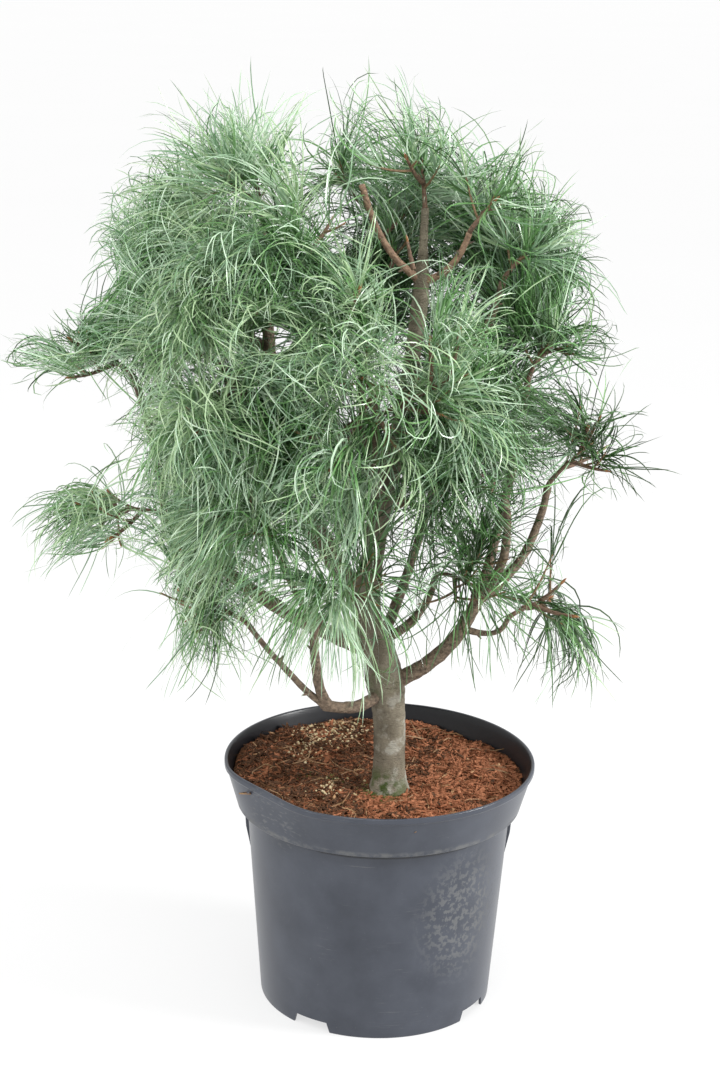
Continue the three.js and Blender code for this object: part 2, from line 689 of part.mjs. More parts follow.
masses.forEach((mass, index) => stems.push(growStem(mass, index)));
masses.forEach((mass, index) => addNode(mass.name, makeMass(mass, index), materials.needles));

export default tree;
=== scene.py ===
import math

import bpy
import numpy as np
from mathutils import Matrix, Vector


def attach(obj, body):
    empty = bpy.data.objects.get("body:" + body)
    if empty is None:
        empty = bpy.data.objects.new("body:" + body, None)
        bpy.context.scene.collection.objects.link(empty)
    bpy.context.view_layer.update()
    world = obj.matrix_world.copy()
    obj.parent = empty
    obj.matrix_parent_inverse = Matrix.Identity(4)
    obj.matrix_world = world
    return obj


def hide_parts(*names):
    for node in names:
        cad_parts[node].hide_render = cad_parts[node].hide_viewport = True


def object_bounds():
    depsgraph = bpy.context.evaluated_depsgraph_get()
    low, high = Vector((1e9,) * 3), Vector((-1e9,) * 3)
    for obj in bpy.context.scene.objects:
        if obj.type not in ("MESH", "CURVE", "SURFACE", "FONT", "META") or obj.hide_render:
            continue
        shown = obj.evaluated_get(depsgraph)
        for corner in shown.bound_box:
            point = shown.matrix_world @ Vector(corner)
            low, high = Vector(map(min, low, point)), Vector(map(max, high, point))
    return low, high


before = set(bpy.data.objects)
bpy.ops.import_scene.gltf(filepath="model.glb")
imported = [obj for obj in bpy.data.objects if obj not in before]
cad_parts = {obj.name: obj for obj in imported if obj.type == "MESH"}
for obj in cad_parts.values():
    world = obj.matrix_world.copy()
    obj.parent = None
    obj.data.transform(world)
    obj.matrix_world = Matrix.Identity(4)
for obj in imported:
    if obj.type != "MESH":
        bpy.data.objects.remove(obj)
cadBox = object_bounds()
mm = 0.001
up = np.array([0.0, 0.0, 1.0])
goldenAngle = math.pi * (3 - math.sqrt(5))
print("frame loaded")

# Camera, at the place that shows the tree from its front
view = {"place": (0.0, -1.7101, 0.90706), "pitch": 16.592, "roll": 1.161, "yaw": -0.671, "lens": 73.27}


def facing(right, over, back, place):
    rows = [[right[i], over[i], back[i], place[i]] for i in range(3)]
    return Matrix(rows + [[0, 0, 0, 1]])


def addObject(name, data):
    made = bpy.data.objects.new(name, data)
    bpy.context.scene.collection.objects.link(made)
    return made


def addCamera():
    yaw, pitch, roll = (math.radians(view[k]) for k in ("yaw", "pitch", "roll"))
    ahead = np.array([math.sin(yaw) * math.cos(pitch), math.cos(yaw) * math.cos(pitch), -math.sin(pitch)])
    level = np.array([math.cos(yaw), -math.sin(yaw), 0])
    above = np.cross(level, ahead)
    right = math.cos(roll) * level + math.sin(roll) * above
    over = -math.sin(roll) * level + math.cos(roll) * above
    data = bpy.data.cameras.new("camera")
    data.lens = view["lens"]
    data.sensor_width = 36
    data.clip_end = 200
    camera = addObject("camera", data)
    camera.matrix_world = facing(right, over, -ahead, view["place"])
    bpy.context.scene.camera = camera


addCamera()


# Vectors, seeded draws and noise

def randomFrom(seed):  # the same repeatable draws from 0 to 1 that the solids were grown with
    state = seed

    def draw():
        nonlocal state
        state = (state * 1664525 + 1013904223) % 4294967296
        return state / 4294967296

    return draw


def unit(v):
    v = np.asarray(v, float)
    return v / np.maximum(np.linalg.norm(v, axis=-1, keepdims=True), 1e-9)


def dot(a, b):
    return np.sum(a * b, axis=-1, keepdims=True)


def mix(a, b, t):
    return a + (b - a) * t


def smooth(t):
    t = np.clip(t, 0, 1)
    return t * t * (3 - 2 * t)


def leaning(axis, angle, turn):  # a direction at an angle from an axis, turned round it
    axis = np.asarray(axis, float)
    across = np.cross(up, axis)
    flat = np.linalg.norm(across, axis=-1, keepdims=True) < 0.1
    across = unit(np.where(flat, [1.0, 0.0, 0.0], across))
    third = np.cross(axis, across)
    angle, turn = np.asarray(angle)[..., None], np.asarray(turn)[..., None]
    return axis * np.cos(angle) + across * np.sin(angle) * np.cos(turn) + third * np.sin(angle) * np.sin(turn)


def cellValue(cell, seed):  # a repeatable value from -1 to 1 for each cell
    c = cell.astype(np.int64)
    code = (c[..., 0] * 73856093) ^ (c[..., 1] * 19349663) ^ (c[..., 2] * 83492791) ^ (seed * 2654435761)
    code = ((code ^ (code >> 13)) * 1274126177) & 0xFFFFFFFF
    code = ((code ^ (code >> 15)) * 2246822519) & 0xFFFFFFFF
    return ((code ^ (code >> 16)) & 0xFFFF) / 32767.5 - 1


def noise(points, size, seed=0):  # smooth noise from -1 to 1 with lumps of the given size
    places = np.asarray(points, float) / size
    cell = np.floor(places)
    part = smooth(places - cell)
    total = 0
    for corner in np.ndindex(2, 2, 2):
        weight = np.prod(np.where(corner, part, 1 - part), axis=-1)
        total = total + weight * cellValue(cell + corner, seed)
    return total


def drift(points, size, seed, apart):  # a slowly turning field, from the same noise read at three places
    return np.stack([noise(points + apart * k, size, seed + k) for k in range(3)], -1)


# Meshes and pieces
boxFaces = np.array([[0, 3, 2, 1], [4, 5, 6, 7], [0, 1, 5, 4], [1, 2, 6, 5], [2, 3, 7, 6], [3, 0, 4, 7]])


def makeMesh(name, points, faces, sharpAngle=None):  # faces: a list of arrays, with a row of corners a face
    mesh = bpy.data.meshes.new(name)
    faces = [np.asarray(f) for f in faces if len(f)]
    corners = np.concatenate([f.ravel() for f in faces])
    counts = np.concatenate([np.full(len(f), f.shape[1]) for f in faces])
    mesh.vertices.add(len(points))
    mesh.vertices.foreach_set("co", (np.asarray(points, float) * mm).astype(np.float32).ravel())
    mesh.loops.add(len(corners))
    mesh.loops.foreach_set("vertex_index", corners.astype(np.int32))
    mesh.polygons.add(len(counts))
    mesh.polygons.foreach_set("loop_start", (np.cumsum(counts) - counts).astype(np.int32))
    mesh.polygons.foreach_set("use_smooth", np.ones(len(counts), bool))
    mesh.update(calc_edges=True)
    mesh.validate()
    if sharpAngle is not None:
        mesh.set_sharp_from_angle(angle=math.radians(sharpAngle))
    return mesh


def addPiece(name, points, faces, material, slot, nodes, sharpAngle=None):
    mesh = makeMesh(name, points, faces, sharpAngle)
    mesh.materials.append(material)
    piece = addObject(name, mesh)
    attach(piece, "root")
    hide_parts(*nodes)
    return piece


def applyModifiers(piece):
    shown = piece.evaluated_get(bpy.context.evaluated_depsgraph_get())
    piece.data = bpy.data.meshes.new_from_object(shown)
    piece.modifiers.clear()


def joined(parts):  # several (points, [faces, ...]) as one
    points, faces, first = [], {}, 0
    for found, groups in parts:
        points.append(found)
        for group in groups:
            faces.setdefault(group.shape[1], []).append(group + first)
        first += len(found)
    return np.concatenate(points), [np.concatenate(groups) for groups in faces.values()]


def fullTurn(count):
    return 2 * np.pi * np.arange(count) / count


def wallFaces(index):  # the faces between each ring of a grid of corners and the next
    onward = np.roll(index, -1, axis=-1)
    walls = [index[..., :-1, :], onward[..., :-1, :], onward[..., 1:, :], index[..., 1:, :]]
    return np.stack(walls, -1).reshape(-1, 4)


def ringFaces(rings, segments):  # the faces of a skin over rings of points, with its two flat ends
    index = np.arange(rings * segments).reshape(rings, segments)
    return [wallFaces(index), index[:1, ::-1], index[-1:]]


def tubes(paths, radii, sides):  # many tubes of one ring count, with flat ends
    paths, radii = np.asarray(paths, float), np.asarray(radii, float)
    count, rings = paths.shape[:2]
    tangents = unit(np.gradient(paths, axis=1))
    across = np.cross([1.0, 0.0, 0.0], tangents[:, 0])
    flat = np.linalg.norm(across, axis=-1, keepdims=True) < 0.2
    across = np.where(flat, np.cross([0.0, 1.0, 0.0], tangents[:, 0]), across)
    turns = fullTurn(sides)
    outward = np.empty((count, rings, sides, 3))
    for i in range(rings):
        across = unit(across - dot(across, tangents[:, i]) * tangents[:, i])
        third = np.cross(tangents[:, i], across)
        outward[:, i] = across[:, None] * np.cos(turns)[:, None] + third[:, None] * np.sin(turns)[:, None]
    points = paths[:, :, None] + outward * radii[:, :, None, None]
    index = np.arange(count * rings * sides).reshape(count, rings, sides)
    caps = np.concatenate([index[:, 0, ::-1], index[:, -1]])
    return points, outward, [wallFaces(index), caps]


def tubeMesh(paths, radii, sides):
    points, _, faces = tubes(paths, radii, sides)
    return points.reshape(-1, 3), faces


# Shaders. Each group puts out only colours, masks and heights that change over the surface.

def newGroup(name, inputs, output):  # a group with its input sockets and the input of its one output
    group = bpy.data.node_groups.new(name, "ShaderNodeTree")
    for label, kind, value in inputs:
        socket = group.interface.new_socket(label, in_out="INPUT", socket_type="NodeSocket" + kind)
        if value is not None:
            socket.default_value = value
    label, kind = output
    group.interface.new_socket(label, in_out="OUTPUT", socket_type="NodeSocket" + kind)
    return group, group.nodes.new("NodeGroupInput").outputs, group.nodes.new("NodeGroupOutput").inputs[0]


def newNode(tree, kind, feeds=None, **settings):  # feeds: for an input, a value or another node's socket
    made = tree.nodes.new("ShaderNode" + kind)
    for key, value in settings.items():
        setattr(made, key, value)
    for key, value in (feeds or {}).items():
        if isinstance(value, bpy.types.NodeSocket):
            tree.links.new(value, made.inputs[key])
        else:
            made.inputs[key].default_value = value
    return made


def makeGrain():  # a mask of stretched grain, from 0 to 1
    inputs = [("Vector", "Vector", None), ("Stretch", "Vector", (1, 1, 1)), ("Scale", "Float", 200.0)]
    inputs += [("Low", "Float", 0.35), ("High", "Float", 0.65)]
    group, given, result = newGroup("grain", inputs, ("Mask", "Float"))
    place = newNode(group, "VectorMath", {0: given["Vector"], 1: given["Stretch"]}, operation="MULTIPLY")
    feeds = {"Vector": place.outputs[0], "Scale": given["Scale"], "Detail": 5, "Roughness": 0.6}
    pattern = newNode(group, "TexNoise", feeds)
    feeds = {"Value": pattern.outputs["Fac"], "From Min": given["Low"], "From Max": given["High"]}
    group.links.new(newNode(group, "MapRange", feeds).outputs["Result"], result)
    return group


def makeTwoTone():  # a colour between two, by a mask
    inputs = [("Mask", "Float", 0.5), ("First", "Color", (0, 0, 0, 1)), ("Second", "Color", (1, 1, 1, 1))]
    group, given, result = newGroup("two tone", inputs, ("Color", "Color"))
    blend = newNode(group, "Mix", {"Factor": given["Mask"]}, data_type="RGBA")
    colours = [socket for socket in blend.inputs if socket.type == "RGBA"]
    group.links.new(given["First"], colours[0])
    group.links.new(given["Second"], colours[1])
    group.links.new(next(socket for socket in blend.outputs if socket.type == "RGBA"), result)
    return group


def makeZone():  # a soft-edged ball of influence round a place, full within a share of its radius
    inputs = [("Vector", "Vector", None), ("Centre", "Vector", (0, 0, 0)), ("Squash", "Vector", (1, 1, 1))]
    inputs += [("Radius", "Float", 0.03), ("Full", "Float", 0.35)]
    group, given, result = newGroup("zone", inputs, ("Mask", "Float"))
    offset = newNode(group, "VectorMath", {0: given["Vector"], 1: given["Centre"]}, operation="SUBTRACT")
    scaled = newNode(group, "VectorMath", {0: offset.outputs[0], 1: given["Squash"]}, operation="MULTIPLY")
    far = newNode(group, "VectorMath", {0: scaled.outputs[0]}, operation="LENGTH")
    share = newNode(group, "Math", {0: far.outputs["Value"], 1: given["Radius"]}, operation="DIVIDE")
    feeds = {"Value": share.outputs[0], "From Min": 1.0, "From Max": given["Full"]}
    ranged = newNode(group, "MapRange", feeds, interpolation_type="SMOOTHSTEP")
    group.links.new(ranged.outputs["Result"], result)
    return group


grain, twoTone, zone = makeGrain(), makeTwoTone(), makeZone()


class Finish:  # a material under construction: one shader, fed by the groups above
    def __init__(self, name, roughness, **constants):
        self.material = bpy.data.materials.new(name)
        self.material.use_nodes = True
        self.tree = self.material.node_tree
        self.shader = self.tree.nodes["Principled BSDF"]
        self.shader.inputs["Roughness"].default_value = roughness
        for key, value in constants.items():
            self.shader.inputs[key].default_value = value
        self.place = newNode(self.tree, "TexCoord").outputs["Object"]

    def group(self, made, **feeds):
        return newNode(self.tree, "Group", feeds, node_tree=made).outputs[0]

    def grain(self, scale, stretch=(1, 1, 1), low=0.35, high=0.65):
        return self.group(grain, Vector=self.place, Scale=scale, Stretch=stretch, Low=low, High=high)

    def zone(self, centre, radius, squash=(1, 1, 1), full=0.35):
        sizes = {"Centre": [c * mm for c in centre], "Radius": radius * mm, "Squash": squash}
        return self.group(zone, Vector=self.place, Full=full, **sizes)

    def colour(self, mask, first, second):
        first = first if isinstance(first, bpy.types.NodeSocket) else (*first, 1)
        second = second if isinstance(second, bpy.types.NodeSocket) else (*second, 1)
        return self.group(twoTone, Mask=mask, First=first, Second=second)

    def marked(self, colour, mask, strength, tone):  # a colour with marks of another tone on it
        return self.colour(self.times(mask, strength), colour, tone)

    def maths(self, operation, a, b):
        return newNode(self.tree, "Math", {0: a, 1: b}, operation=operation, use_clamp=True).outputs[0]

    def times(self, a, b):
        return self.maths("MULTIPLY", a, b)

    def plus(self, a, b):
        return self.maths("ADD", a, b)

    def less(self, a, b):
        return self.maths("SUBTRACT", a, b)

    def ranged(self, value, least, most):
        feeds = {"Value": value, "To Min": least, "To Max": most}
        return newNode(self.tree, "MapRange", feeds).outputs["Result"]

    def feed(self, key, value):
        self.tree.links.new(value, self.shader.inputs[key])

    def bump(self, height, depth, strength=1.0):
        feeds = {"Strength": strength, "Distance": depth * mm, "Height": height}
        self.feed("Normal", newNode(self.tree, "Bump", feeds).outputs["Normal"])


def dappled(name, colours, scale, roughness, stretch=(1, 1, 1), depth=0.3, shine=0.5):  # grain of two colours
    finish = Finish(name, roughness=roughness, **{"Specular IOR Level": shine})
    mask = finish.grain(scale, stretch)
    finish.feed("Base Color", finish.colour(mask, *colours))
    finish.feed("Roughness", finish.ranged(mask, roughness - 0.08, min(roughness + 0.1, 1)))
    finish.bump(mask, depth)
    return finish.material


# Pot: a tapered body, a step out to a collar and a thin lip, with a dent, drain notches and two fins
pot = {
    "height": 208.7, "lipRadius": 129.5, "collarTopRadius": 127.6, "collarFootRadius": 118.6,
    "collarFoot": 171, "bodyTopRadius": 110.5, "baseRadius": 97.6, "wall": 2.2, "floorTop": 12,
    "footRadius": 64, "segments": 192,
    "colour": (0.034, 0.04, 0.055), "sheen": (0.058, 0.066, 0.086), "dust": (0.2, 0.2, 0.19),
    # inside: a near-black colour painted on the collar's inner wall above the compost as shade
    "inside": (0.006, 0.006, 0.007),
}
notch = {"count": 4, "firstAngle": -122, "width": 30, "footWidth": 36, "height": 9}
fin = {"length": 62, "depth": 3.6, "thickness": 2.6}
dent = {"angle": -140, "halfWidth": 30, "depth": 8.6}
# Places of wear, and of the painted shade on the inside of the collar with the dent kept clear of it: middle,
# radius, squash, share that is full
wearAndPaintedShade = {
    "scuff": ((72, -78, 104), 54, (1, 1, 0.75)), "edge": ((0, 0, 172), 5, (0, 0, 1)),
    "rub": ((-84, -86, 188), 42), "inside": ((0, 0, 225), 129.6, (1, 1, 1.147), 0.992),
    "dentKeptFromPaintedShade": ((-92, -78, 195), 62, (1, 1, 1), 0.8),
}


def potProfile():  # radius, height and how much each corner is rounded
    height, lip, wall = pot["height"], pot["lipRadius"], pot["wall"]
    collarTop, collarFoot, foot = pot["collarTopRadius"], pot["collarFootRadius"], pot["collarFoot"]
    body, base, inner, floorTop = pot["bodyTopRadius"], pot["baseRadius"], pot["footRadius"], pot["floorTop"]
    return [
        (0.5, 0, 0), (inner, 0, 1.2), (inner + 3, floorTop - wall, 1.5),
        (base - wall + 0.7, floorTop - wall, 1), (base - wall, 0, 0.8), (base, 0, 0.9),
        (body, foot, 1.4), (collarFoot - 0.8, foot, 0.7), (collarFoot, foot + 0.9, 0.5),
        (collarTop, height - 5.5, 1.2), (lip, height - 4.4, 0.9), (lip, height, 1.3),
        (lip - 2.6, height, 1.1), (collarTop - wall, height - 4, 2),
        (collarFoot - wall, foot + wall + 0.5, 1.5), (body - wall, foot + wall, 1),
        (base - wall + 0.9, floorTop, 1.5), (0.5, floorTop, 0),
    ]


def rounded(profile, steps=5):  # the profile with each corner turned into an arc
    places = []
    for i, (r, z, size) in enumerate(profile):
        corner = np.array([r, z], float)
        if not size:
            places.append(corner)
            continue
        before, after = np.array(profile[i - 1][:2], float), np.array(profile[i + 1][:2], float)
        enter = corner + unit(before - corner) * min(size, np.linalg.norm(before - corner) * 0.45)
        leave = corner + unit(after - corner) * min(size, np.linalg.norm(after - corner) * 0.45)
        for t in np.linspace(0, 1, steps):
            places.append(mix(mix(enter, corner, t), mix(corner, leave, t), t))
    return np.array(places)


def dentDepth(points):
    angle = np.degrees(np.arctan2(points[..., 1], points[..., 0]))
    away = np.abs((angle - dent["angle"] + 540) % 360 - 180) / dent["halfWidth"]
    rise = (points[..., 2] - pot["collarFoot"]) / (pot["height"] - pot["collarFoot"])
    depth = dent["depth"] * rise * np.cos(np.clip(away, 0, 1) * np.pi / 2) ** 2
    return np.where(rise > 0, depth, 0)


def pushIn(points):
    share = 1 - dentDepth(points) / pot["lipRadius"]
    points[..., :2] *= share[..., None]
    return points


def lathe(profile, segments):
    turns = fullTurn(segments)
    rings = np.empty((len(profile), segments, 3))
    rings[..., 0] = profile[:, :1] * np.cos(turns)
    rings[..., 1] = profile[:, :1] * np.sin(turns)
    rings[..., 2] = profile[:, 1:]
    return rings, ringFaces(len(profile), segments)


def withHeights(profile, spacing=9):  # extra rings on the long straight walls
    places = [profile[0]]
    for a, b in zip(profile[:-1], profile[1:]):
        steps = max(1, round(np.linalg.norm(b - a) / spacing))
        places += [mix(a, b, (i + 1) / steps) for i in range(steps)]
    return np.array(places)


def notchCutter():
    parts = []
    wide, narrow = (notch["footWidth"] / 2, -1), (notch["width"] / 2, notch["height"])
    for i in range(notch["count"]):
        angle = math.radians(notch["firstAngle"] + 360 / notch["count"] * i)
        outward = np.array([math.cos(angle), math.sin(angle), 0])
        aside = np.array([-math.sin(angle), math.cos(angle), 0])
        corners = []
        for reach in (pot["baseRadius"] - 14, pot["baseRadius"] + 9):
            for side, (half, z) in ((-1, wide), (1, wide), (1, narrow), (-1, narrow)):
                corners.append(outward * reach + aside * side * half + up * z)
        parts.append((np.array(corners), [boxFaces]))
    return addObject("notch cutter", makeMesh("notch cutter", *joined(parts)))


def potFinish():
    finish = Finish("pot plastic", roughness=0.4)
    cloudy = finish.grain(26, low=0.3, high=0.7)
    specks = finish.grain(620, low=0.68, high=0.74)
    scratch = finish.times(finish.grain(34, (1, 1, 34), 0.63, 0.68), finish.grain(30, low=0.5, high=0.62))
    scuff = finish.times(finish.zone(*wearAndPaintedShade["scuff"]), finish.grain(210, low=0.5, high=0.55))
    edge = finish.times(finish.zone(*wearAndPaintedShade["edge"]), finish.grain(90, low=0.42, high=0.6))
    rub = finish.times(finish.zone(*wearAndPaintedShade["rub"]), finish.grain(150, (1, 1, 3), 0.54, 0.62))
    colour = finish.colour(cloudy, pot["colour"], pot["sheen"])
    for mask, strength in ((specks, 0.5), (scratch, 0.4), (scuff, 0.42), (edge, 0.5), (rub, 0.3)):
        colour = finish.marked(colour, mask, strength, pot["dust"])
    # painted shade: the collar's inner wall above the compost is darkened nearly to black, except on the
    # dented part
    inside = finish.less(finish.zone(*wearAndPaintedShade["inside"]), finish.zone(*wearAndPaintedShade["dentKeptFromPaintedShade"]))
    finish.feed("Base Color", finish.marked(colour, inside, 0.85, pot["inside"]))
    worn = finish.plus(finish.plus(scuff, scratch), edge)
    finish.feed("Roughness", finish.ranged(finish.plus(worn, finish.times(cloudy, 0.25)), 0.28, 0.62))
    finish.bump(finish.grain(900, low=0.2, high=0.8), 0.05, 0.35)
    return finish.material


def finMesh():
    slope = math.atan((pot["bodyTopRadius"] - pot["baseRadius"]) / pot["collarFoot"])
    root = (pot["bodyTopRadius"] - 0.6, pot["collarFoot"] + 0.6)
    outline = [(-1, 0), (fin["depth"], 0), (fin["depth"], -fin["length"] * 0.45), (-1, -fin["length"])]
    parts = []
    for side in (-1, 1):
        corners = []
        for half in (-fin["thickness"] / 2, fin["thickness"] / 2):
            for x, z in outline:
                outward = x * math.cos(slope) + z * math.sin(slope)
                fall = z * math.cos(slope) - x * math.sin(slope)
                corners.append([side * (root[0] + outward), side * half, root[1] + fall])
        parts.append((np.array(corners), [boxFaces[:, ::-1]]))
    return joined(parts)


def addPot():
    points, faces = lathe(withHeights(rounded(potProfile())), pot["segments"])
    finish = potFinish()
    shell = addPiece("pot_shell", pushIn(points.reshape(-1, 3)), faces, finish, "pot", ["pot"])
    cutter = notchCutter()
    cut = shell.modifiers.new("notches", "BOOLEAN")
    cut.operation, cut.object, cut.solver = "DIFFERENCE", cutter, "EXACT"
    applyModifiers(shell)
    shell.data.set_sharp_from_angle(angle=math.radians(40))
    bpy.data.objects.remove(cutter)
    fins = addPiece("pot_fins", *finMesh(), finish, "pot", ["pot"], 30)
    soften = fins.modifiers.new("soften", "BEVEL")
    soften.width, soften.segments = 0.5 * mm, 2
    applyModifiers(fins)


addPot()
print("pot made")

# Compost: an uneven bed with chips, fibres, granules, moss and dry needles strewn on it
soil = {
    "level": 193, "roughness": 2.2, "flatRadius": 26, "clods": 2.4, "bedRings": 76, "bedSegments": 200,
    "seed": 11, "chips": 8200, "fibres": 5200, "granules": 520, "tufts": 1900, "dryNeedles": 70,
    "longest": {"red": 11, "dark": 10.5, "tan": 7}, "tanShare": 0.08,  # of the chips
    "darkPatch": ((-62, -58), (34, 26), 0.7),  # its middle, half size and strength
    "clusters": [(-62, 88), (-45, 66), (-30, 100), (-50, 96), (-34, 78), (-38, -40), (-66, 40)],
    "mossHomes": [(-6, -42), (-3, -50), (6, -52), (-8, -32), (18, -48), (-40, -20), (-58, -8)],
    "mossShares": [0.26, 0.18, 0.14, 0.16, 0.08, 0.1, 0.08],
    "bed": ((0.055, 0.022, 0.011), (0.2, 0.09, 0.045)), "red": ((0.2, 0.072, 0.032), (0.48, 0.2, 0.105)),
    "dark": ((0.035, 0.018, 0.01), (0.16, 0.078, 0.042)), "tan": ((0.33, 0.17, 0.08), (0.58, 0.36, 0.2)),
    "granule": ((0.5, 0.37, 0.17), (0.74, 0.62, 0.4)), "moss": ((0.06, 0.12, 0.022), (0.2, 0.31, 0.075)),
    "dry": ((0.2, 0.1, 0.045), (0.42, 0.25, 0.12)),
}
foot = np.array([8.0, -33.0])  # of the trunk


def fromTrunk(x, y):
    return np.hypot(x - foot[0], y - foot[1])


def soilHeight(x, y):
    ease = smooth((fromTrunk(x, y) / soil["flatRadius"] - 1) / 1.2)
    lumps = np.sin(x * 0.071 + 1.3) * np.cos(y * 0.083 - 0.4) + np.sin(x * 0.031 - y * 0.047)
    return soil["level"] + ease * (soil["roughness"] * lumps - x * 0.035)


def bedHeight(x, y):  # the same surface with clods
    places = np.stack([x, y, np.zeros_like(x)], -1)
    clods = noise(places, 11, 3) * 0.5 + noise(places, 5, 4) * 0.35 + np.abs(noise(places, 2.4, 5)) * 0.3
    calm = 0.35 + 0.65 * smooth((fromTrunk(x, y) - 14) / 20)
    return soilHeight(x, y) + soil["clods"] * clods * calm


def collarInside(z):
    low = pot["collarFoot"] + pot["wall"] + 0.5
    share = (z - low) / (pot["height"] - 4 - low)
    return mix(pot["collarFootRadius"], pot["collarTopRadius"], share) - pot["wall"]


def soilBed():
    edge = collarInside(soil["level"]) - 0.4
    radii = edge * np.linspace(1, 0.004, soil["bedRings"]) ** 0.9
    turns = fullTurn(soil["bedSegments"])
    x, y = radii[:, None] * np.cos(turns), radii[:, None] * np.sin(turns)
    top = np.stack([x, y, bedHeight(x, y)], -1)
    wall = [(pot["baseRadius"] - 5, 20), (pot["bodyTopRadius"] - 5, pot["collarFoot"] + 3)]
    wall.append((edge - 2, soil["level"] - 12))
    sides = [np.stack([r * np.cos(turns), r * np.sin(turns), np.full_like(turns, z)], -1) for r, z in wall]
    rings = np.concatenate([np.array(sides), top])
    return pushIn(rings.reshape(-1, 3)), ringFaces(len(rings), len(turns))


def strewn(count, rng):  # random places on the bed, clear of the trunk
    places = []
    while len(places) < count:
        r = (collarInside(soil["level"]) - 4) * math.sqrt(rng.random())
        a = rng.random() * 2 * np.pi
        x, y = r * math.cos(a), r * math.sin(a)
        if fromTrunk(x, y) > 15:
            places.append((x, y))
    return np.array(places)


def spun(points, angle, i, j):  # points turned in the plane of two of their axes
    c, s = np.cos(angle)[:, None], np.sin(angle)[:, None]
    result = points.copy()
    result[..., i] = points[..., i] * c - points[..., j] * s
    result[..., j] = points[..., i] * s + points[..., j] * c
    return result


def turned(template, scale, yaw, tilt, roll, places):  # copies of a template at many places
    points = template * scale[:, None]
    points = spun(spun(spun(points, roll, 1, 2), tilt, 2, 0), yaw, 0, 1)
    return points + places[:, None]


def copies(points, faces):  # faces of a template repeated for each copy
    count, size = points.shape[:2]
    steps = (np.arange(count) * size)[:, None, None]
    return points.reshape(-1, 3), [(f[None] + steps).reshape(-1, f.shape[1]) for f in faces]


chipShape = 0.5 * np.array([
    [-1, -0.7, -1], [0.8, -1, -1], [1, 0.6, -1], [-0.7, 1, -1],
    [-0.9, -0.6, 1], [1, -0.8, 1], [0.7, 0.8, 1], [-1, 0.7, 1],
])


def chips(places, rng, longest):
    count = len(places)
    length = longest * (0.3 + 0.7 * rng.random(count) ** 2)
    scale = [length, length * rng.uniform(0.16, 0.42, count), length * rng.uniform(0.06, 0.16, count)]
    scale = np.stack(scale, -1)
    ground = np.stack([*places.T, bedHeight(*places.T) + scale[:, 2] * 0.5 + rng.random(count) * 1.4], -1)
    shapes = chipShape + rng.uniform(-0.16, 0.16, (count, 8, 3))
    yaw, tilt, roll = rng.random(count) * 2 * np.pi, rng.normal(0, 0.3, count), rng.normal(0, 0.45, count)
    return copies(turned(shapes, scale, yaw, tilt, roll, ground), [boxFaces])


def ribbons(curves, widths, sideways, twist):  # thin pointed strips along many curves at once
    count, steps = curves.shape[0], curves.shape[1] - 1
    tangents = unit(np.gradient(curves, axis=1))
    side = sideways
    points = np.empty((count, 2 * steps + 1, 3))
    for i in range(steps):
        side = unit(side - dot(side, tangents[:, i]) * tangents[:, i])
        swelling = 0.78 + 0.22 * math.sin(math.pi * min(i / steps * 1.6, 1))
        half = (widths[:, None] / 2) * swelling * (1 - 0.45 * (i / steps) ** 3)
        points[:, 2 * i] = curves[:, i] + side * half
        points[:, 2 * i + 1] = curves[:, i] - side * half
        side = side * np.cos(twist)[:, None] + np.cross(tangents[:, i], side) * np.sin(twist)[:, None]
    points[:, 2 * steps] = curves[:, steps]
    quads = np.array([[2 * i, 2 * i + 1, 2 * i + 3, 2 * i + 2] for i in range(steps - 1)])
    tip = np.array([[2 * steps - 2, 2 * steps - 1, 2 * steps]])
    return copies(points, [quads, tip])


def fibres(count, rng, longest, width, lift, bend):  # limp strands that lie on the bed
    x, y = strewn(count, rng).T.copy()
    steps = 5
    heading = rng.random(count) * 2 * np.pi
    length = longest * rng.uniform(0.4, 1, count)
    curve = rng.normal(0, bend, count)
    points = np.empty((count, steps + 1, 3))
    for i in range(steps + 1):
        points[:, i, 0], points[:, i, 1] = x, y
        points[:, i, 2] = bedHeight(x, y) + lift * (0.6 + rng.random(count))
        x, y = x + np.cos(heading) * length / steps, y + np.sin(heading) * length / steps
        heading = heading + curve / steps
        outside = np.hypot(x, y) > collarInside(soil["level"]) - 3
        heading = np.where(outside, heading + 2.2, heading)
    sideways = unit(rng.normal(size=(count, 3)))
    return ribbons(points, np.full(count, width), sideways, rng.normal(0, 0.3, count))


def ball(segments=7, rings=5):
    rises = np.pi * (np.arange(rings) + 1) / (rings + 1)
    points = [[0, 0, 1]]
    for b in rises:
        for a in fullTurn(segments):
            points.append([math.sin(b) * math.cos(a), math.sin(b) * math.sin(a), math.cos(b)])
    points.append([0, 0, -1])
    index = 1 + np.arange(rings * segments).reshape(rings, segments)
    onward = np.roll(index, -1, axis=1)
    top = np.stack([np.zeros(segments, int), index[0], onward[0]], -1)
    low = np.stack([np.full(segments, len(points) - 1), onward[-1], index[-1]], -1)
    return np.array(points, float), [wallFaces(index)[:, [0, 3, 2, 1]], np.concatenate([top, low])]


def addSoilPiece(name, made, finish, sharpAngle=None):
    addPiece(name, *made, finish, "soil", ["soil"], sharpAngle)


def addChips(rng):
    places = strewn(soil["chips"], rng)
    flat = np.stack([*places.T, np.zeros(len(places))], -1)
    redness = 0.5 + places[:, 0] / 200 - places[:, 1] / 400 + 0.5 * noise(flat, 24, 6)
    redness = smooth(redness + rng.normal(0, 0.22, len(places)))
    middle, half, strength = soil["darkPatch"]
    redness = redness - strength * np.exp(-np.sum(((places - middle) / half) ** 2, axis=1))
    kinds = np.where(rng.random(len(places)) < soil["tanShare"], 2, np.where(redness > 0.48, 0, 1))
    for kind, (key, longest) in enumerate(soil["longest"].items()):
        bark = dappled(key + " bark chips", soil[key], 320, 0.85, (1, 1, 2), shine=0.15)
        addSoilPiece("soil_chips_" + key, chips(places[kinds == kind], rng, longest), bark, 30)


